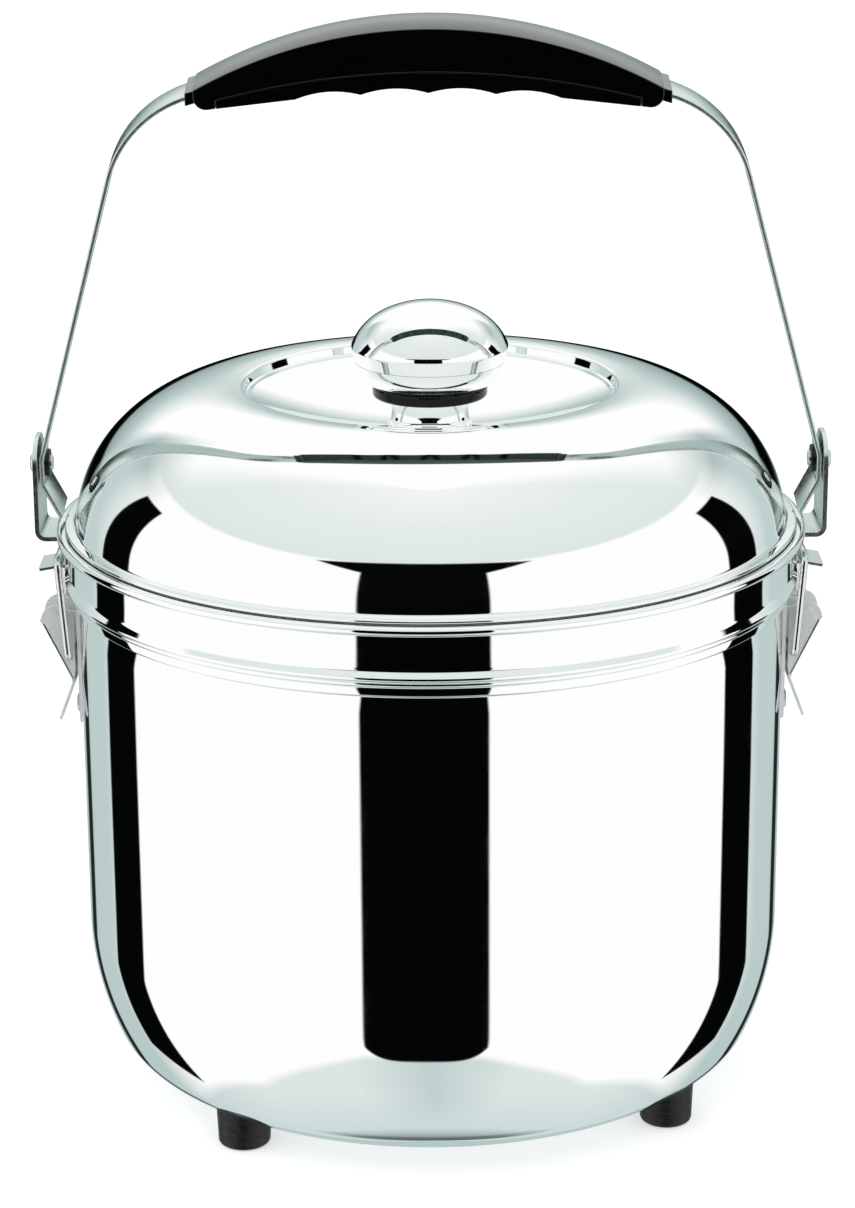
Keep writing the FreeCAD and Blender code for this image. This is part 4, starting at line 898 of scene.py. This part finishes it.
class BuildLid(bpy.types.Operator):
    """Build the domed lid with its hem, lip and dished floor, the pan under it and its seal"""
    bl_idname = "casserole.lid"
    bl_label = "Lid"

    def execute(self, context):
        s = sizes("lid")
        low, rim, dome_r, crown_r = s["flange_z"], s["flange_r"], s["dome_r"], s["crown_r"]
        hem, sheet, join, pan_sheet = 1.2, 0.6, 47.5, 0.4
        top = low + hem
        dome = (70.5, top - 3.4)
        crown = polar(*dome, dome_r - crown_r, join)
        wall = polar(*dome, dome_r, 8)
        lip_r, lip_z = polar(*crown, crown_r, 95)
        edge_r, edge_z = DISH_EDGE
        line = bend([(rim - 3, low), (rim, low, 0.55), (rim, top, 0.55), (116.8, top, 1.2), wall], 6)
        line += arc(*dome, dome_r, 8, join, 24)[1:]
        line += arc(*crown, crown_r, join, 94, 30)[1:]
        line += bend([polar(*crown, crown_r, 94), (lip_r - 1.4, lip_z, 0.9), (lip_r - 2.4, lip_z - 2.9, 0.4),
                      (edge_r + 0.6, lip_z - 2.9, 0.35), (edge_r, edge_z, 0.35),
                      (edge_r - 2, dish_height(edge_r - 2))], 5)[1:]
        radii = [(edge_r - 2) * (1 - step / 24) + STUD_R * step / 24 for step in range(1, 25)]
        line += [(r, dish_height(r)) for r in radii]
        radii = [STUD_R + (edge_r - STUD_R) * step / 12 for step in range(13)]
        under = [(r, dish_height(r, sheet)) for r in radii]
        under += arc(*crown, crown_r - sheet, 90, join, 12) + arc(*dome, dome_r - sheet, join, 9, 10)
        under += [(116.1, top - sheet), (rim - 3, top - sheet)]
        finished_piece("lid_shell_buffed", lathe(line + under), "lid", "steel_polished", ["lid_shell"])
        skirt_r, floor_z = 115.6, low - 10.9
        pan = bend([(0, floor_z), (skirt_r, floor_z, 4.0), (skirt_r, low + 0.05, 0.4), (rim - 2.9, low + 0.05)], 8)
        finished_piece("lid_pan_spun", lathe(sheet_outline(pan, pan_sheet)), "lid", "steel_satin", ["lid_pan"])
        seal = bend([(115.65, low - 3.9), (117.0, low - 3.9, 0.6), (117.0, low - 2.7, 0.5), (118.4, low - 1.8, 0.3),
                     (118.4, low - 0.6, 0.3), (115.65, low - 0.6)], 4, closed=False)
        finished_piece("lid_seal_moulded", lathe(seal), "lid", "silicone_seal", ["lid_seal"])
        return {"FINISHED"}


class BuildKnob(bpy.types.Operator):
    """Build the knob: stem, black ring, dish and cap"""
    bl_idname = "casserole.knob"
    bl_label = "Knob"

    def execute(self, context):
        s = sizes("knob")
        sheet, seam_in, seam_drop = 0.8, 1.1, 3.9
        stem_r, ring_r, edge_r = s["stem_r"], s["ring_r"], s["edge_r"]
        stem_top = dish_height(0) + s["stem_h"]
        ring_top = stem_top + s["ring_h"]
        waist = bulged((stem_r, stem_top), (stem_r, dish_height(stem_r)), 0.9)[::-1]
        stem = [(STUD_R, dish_height(STUD_R))] + waist + [(STUD_R, stem_top)]
        finished_piece("knob_stem_turned", lathe(stem), "lid", "steel_polished", ["knob_stem"])
        ring = bend([(STUD_R, stem_top), (ring_r, stem_top, 1.2), (ring_r, ring_top, 1.2), (STUD_R, ring_top)], 8)
        finished_piece("knob_ring_pressed", lathe(ring), "lid", "knob_bakelite", ["knob_collar"])
        centre, radius, turn = (s["cap_r"] - edge_r, ring_top + s["cap_h"]), edge_r, -16
        skirt = polar(*centre, radius, turn)
        seam = (skirt[0] - seam_in, skirt[1] - seam_drop)
        dish = [(STUD_R, ring_top)] + bulged((18.6, ring_top), (seam[0], seam[1] - 0.1), 1.6)
        finished_piece("knob_dish_spun", lathe(sheet_outline(dish, sheet)), "lid", "steel_polished", ["knob_dish"])
        cap = [seam] + arc(*centre, radius, turn, 22, 10)
        turn = 22
        for next_r, next_turn in ((17.7, 40), (22.0, 66)):
            centre = polar(*centre, radius - next_r, turn)
            cap += arc(*centre, next_r, turn, next_turn, 12)[1:]
            radius, turn = next_r, next_turn
        top_r = cap[-1][0] / math.cos(math.radians(turn))
        cap += arc(0, cap[-1][1] - top_r * math.sin(math.radians(turn)), top_r, turn, 90, 16)[1:]
        finished_piece("knob_cap_spun", lathe(sheet_outline(cap, sheet)), "lid", "steel_polished", ["knob_cap"])
        return {"FINISHED"}


class DressSmallParts(bpy.types.Operator):
    """Give every CAD node its finish, shown or not"""
    bl_idname = "casserole.small_parts"
    bl_label = "Small parts"

    def execute(self, context):
        looks = {entry["node"]: entry["material_slot"] for entry in frame["record"]["subparts"]}
        for name, node in frame["nodes"].items():
            look = looks[name]
            if name.startswith(("lever", "latch_base")):
                look = "lever"
            elif name.startswith(("catch", "ear", "bail")):
                look = "strip"
            node.data.materials.clear()
            node.data.materials.append(finish(look))
        return {"FINISHED"}


class SetStage(bpy.types.Operator):
    """Set the white floor, the studio round it, the lamp and the camera"""
    bl_idname = "casserole.stage"
    bl_label = "Stage"

    def execute(self, context):
        self.floor(context.scene)
        self.studio(context.scene)
        self.lamp(context.scene)
        self.camera(context.scene)
        context.scene.view_settings.view_transform = "Standard"
        return {"FINISHED"}

    def floor(self, scene):
        """A white painted floor that keeps the shadow, with half its white as its own glow."""
        bm = bmesh.new()
        bmesh.ops.create_circle(bm, cap_ends=True, segments=96, radius=12.0)
        mesh = bpy.data.meshes.new("studio_floor")
        bm.to_mesh(mesh)
        bm.free()
        floor = bpy.data.objects.new("studio_floor", mesh)
        scene.collection.objects.link(floor)
        floor.visible_glossy = False
        material, tree = new_material("white painted floor")
        paths = add_node(tree, "LightPath").outputs
        seen = either(tree, paths["Is Camera Ray"], paths["Is Transmission Ray"])
        glow = add_node(tree, "Math", {0: seen, 1: 0.5}, operation="MULTIPLY")
        matt = add_node(tree, "BsdfDiffuse", {"Color": linear("#f2f2f2")})
        light = add_node(tree, "Emission", {"Color": linear("#ffffff"), "Strength": glow})
        both_parts = add_node(tree, "AddShader", {0: matt, 1: light})
        add_node(tree, "OutputMaterial", {"Surface": both_parts})
        mesh.materials.append(material)

    def studio(self, scene):
        """A white tent over a pale table with painted shade round and under the pot, with the camera's dark opening,
        a dark stand each side and a dim room.
        """
        world = bpy.data.worlds.new("white tent studio")
        world.use_nodes = True
        scene.world = world
        tree = world.node_tree
        tree.nodes.clear()
        look = add_node(tree, "TexCoord")
        axes = add_node(tree, "SeparateXYZ", {0: look.outputs["Generated"]}).outputs
        ahead = add_node(tree, "Math", {0: axes["Y"], 1: -1.0}, operation="MULTIPLY")
        turn = add_node(tree, "Math", {0: axes["X"], 1: ahead}, operation="ARCTAN2")
        turn = add_node(tree, "Math", {0: turn}, operation="DEGREES")
        rise = add_node(tree, "Math", {0: axes["Z"]}, operation="ARCSINE")
        rise = add_node(tree, "Math", {0: rise}, operation="DEGREES")
        around = add_node(tree, "Math", {0: turn}, operation="ABSOLUTE")
        tones = {part: toned(tree, stops, -90, 90, rise) for part, stops in TENT.items()}
        # The table below the horizon, with painted shadow straight down under the pot
        seen = over(tree, toned(tree, TABLE, 0, 180, around), tones["under"], past(tree, -60, rise, 18))
        table_edge = between(tree, off_centre(tree, turn, 4.0), 20, 68, -33.5, -48.5)
        seen = over(tree, seen, tones["front"], past(tree, rise, table_edge, 3))
        seen = over(tree, seen, tones["side"], past(tree, around, 122, 24))
        seen = over(tree, seen, tones["back"], past(tree, around, 151, 5))
        seen = over(tree, seen, "#1f2524", self.room_edge(tree, around, rise))
        seen = over(tree, seen, DARK, self.lens_gap(tree, turn, rise))
        seen = over(tree, seen, DARK, self.stands(tree, turn, rise))
        paths = add_node(tree, "LightPath").outputs
        tent = add_node(tree, "Background", {"Color": seen})
        plain = add_node(tree, "Background", {"Color": linear("#ffffff")})
        fill = add_node(tree, "Background", {"Color": linear("#f4f7f7"), "Strength": 0.75})
        backdrop = either(tree, paths["Is Camera Ray"], paths["Is Transmission Ray"])
        lit = add_node(tree, "MixShader", {0: paths["Is Glossy Ray"], 1: fill, 2: tent})
        shown = add_node(tree, "MixShader", {0: backdrop, 1: lit, 2: plain})
        add_node(tree, "OutputWorld", {"Surface": shown})

    def lens_gap(self, tree, turn, rise):
        """The dark opening round the lens: a post with rounded lower corners under a head like a shallow roof."""
        half = 20.5
        off = off_centre(tree, turn, 2.5)
        share = add_node(tree, "Math", {0: off, 1: 1 / half}, operation="MULTIPLY")
        rounded = add_node(tree, "Math", {0: share, 1: 5.0}, operation="POWER")
        foot = add_node(tree, "Math", {0: rounded, 1: 6.0, 2: -35.0}, operation="MULTIPLY_ADD")
        post = both(tree, past(tree, half, off), past(tree, rise, foot))
        eaves = add_node(tree, "Math", {0: off, 1: 0.34, 2: 16.0}, operation="MULTIPLY_ADD")
        square = add_node(tree, "Math", {0: off, 1: 2.0}, operation="POWER")
        roof = add_node(tree, "Math", {0: square, 1: -0.0022, 2: 31.5}, operation="MULTIPLY_ADD")
        return both(tree, either(tree, post, past(tree, rise, eaves)), past(tree, roof, rise))

    def stands(self, tree, turn, rise):
        """The dark stands at both sides, which lean in towards the top and taper at the foot."""
        foot_z, top_z = -20, 22
        off = off_centre(tree, turn, 1.2)
        near = between(tree, rise, foot_z, top_z, 110.2, 103.7)
        far = between(tree, rise, foot_z, top_z, 129, 116.5)
        foot = between(tree, rise, -47.5, -36, 109, 130)
        return both(tree, past(tree, off, near), past(tree, far, off), past(tree, foot, off),
                    past(tree, top_z + 0.5, rise))

    def room_edge(self, tree, around, rise):
        """The thin dark gap between the tent's walls and its back."""
        return both(tree, past(tree, around, 153, 1.5), past(tree, 162, around, 4), past(tree, -8, rise, 2),
                    past(tree, rise, -45, 4))

    def lamp(self, scene):
        light = bpy.data.lights.new("soft_box", "AREA")
        light.energy = scene.casserole_stage.lamp
        light.size = 0.9
        lamp = bpy.data.objects.new("soft_box", light)
        lamp.location = (-0.5, -0.7, 1.3)
        aim = Vector((0, 0, 0.15)) - lamp.location
        lamp.rotation_euler = aim.to_track_quat("-Z", "Y").to_euler()
        lamp.visible_glossy = False
        scene.collection.objects.link(lamp)

    def camera(self, scene):
        s = scene.casserole_stage
        drop = s.view_drop
        data = bpy.data.cameras.new("photo_camera")
        data.lens = s.lens
        data.sensor_width = 36.0
        camera = bpy.data.objects.new("photo_camera", data)
        aim = Vector((-0.00123, 0, 0.1587))
        camera.location = aim + Vector((0, -math.cos(drop), math.sin(drop))) * s.distance
        turn = Matrix.Rotation(math.radians(90) - drop, 4, "X") @ Matrix.Rotation(-0.006, 4, "Z")
        camera.rotation_euler = turn.to_euler()
        scene.collection.objects.link(camera)
        scene.camera = camera


class CasserolePanel(bpy.types.Panel):
    bl_idname = "VIEW3D_PT_casserole"
    bl_label = "Insulated casserole"
    bl_space_type = "VIEW_3D"
    bl_region_type = "UI"
    bl_category = "Casserole"

    def draw(self, context):
        for operator in OPERATORS:
            self.layout.operator(operator.bl_idname)
        for name, group in GROUPS.items():
            box = self.layout.box()
            for key in group.__annotations__:
                box.prop(getattr(context.scene, name), key)


OPERATORS = (BuildVessel, BuildFeet, BuildPot, BuildCatches, BuildLatches, BuildBail, BuildGrip, BuildLid,
             BuildKnob, DressSmallParts, SetStage)


def register():
    for cls in (*GROUPS.values(), *OPERATORS, CasserolePanel):
        bpy.utils.register_class(cls)
    for name, group in GROUPS.items():
        setattr(bpy.types.Scene, name, bpy.props.PointerProperty(type=group))


def unregister():
    for name in GROUPS:
        delattr(bpy.types.Scene, name)
    for cls in (CasserolePanel, *OPERATORS[::-1], *list(GROUPS.values())[::-1]):
        bpy.utils.unregister_class(cls)


def plain(box):
    return [[float(value) for value in corner] for corner in box]


def main():
    register()
    for operator in OPERATORS:
        area, name = operator.bl_idname.split(".")
        if getattr(getattr(bpy.ops, area), name)() != {"FINISHED"}:
            raise RuntimeError(operator.bl_label + " did not finish")


if __name__ == "__main__":
    main()
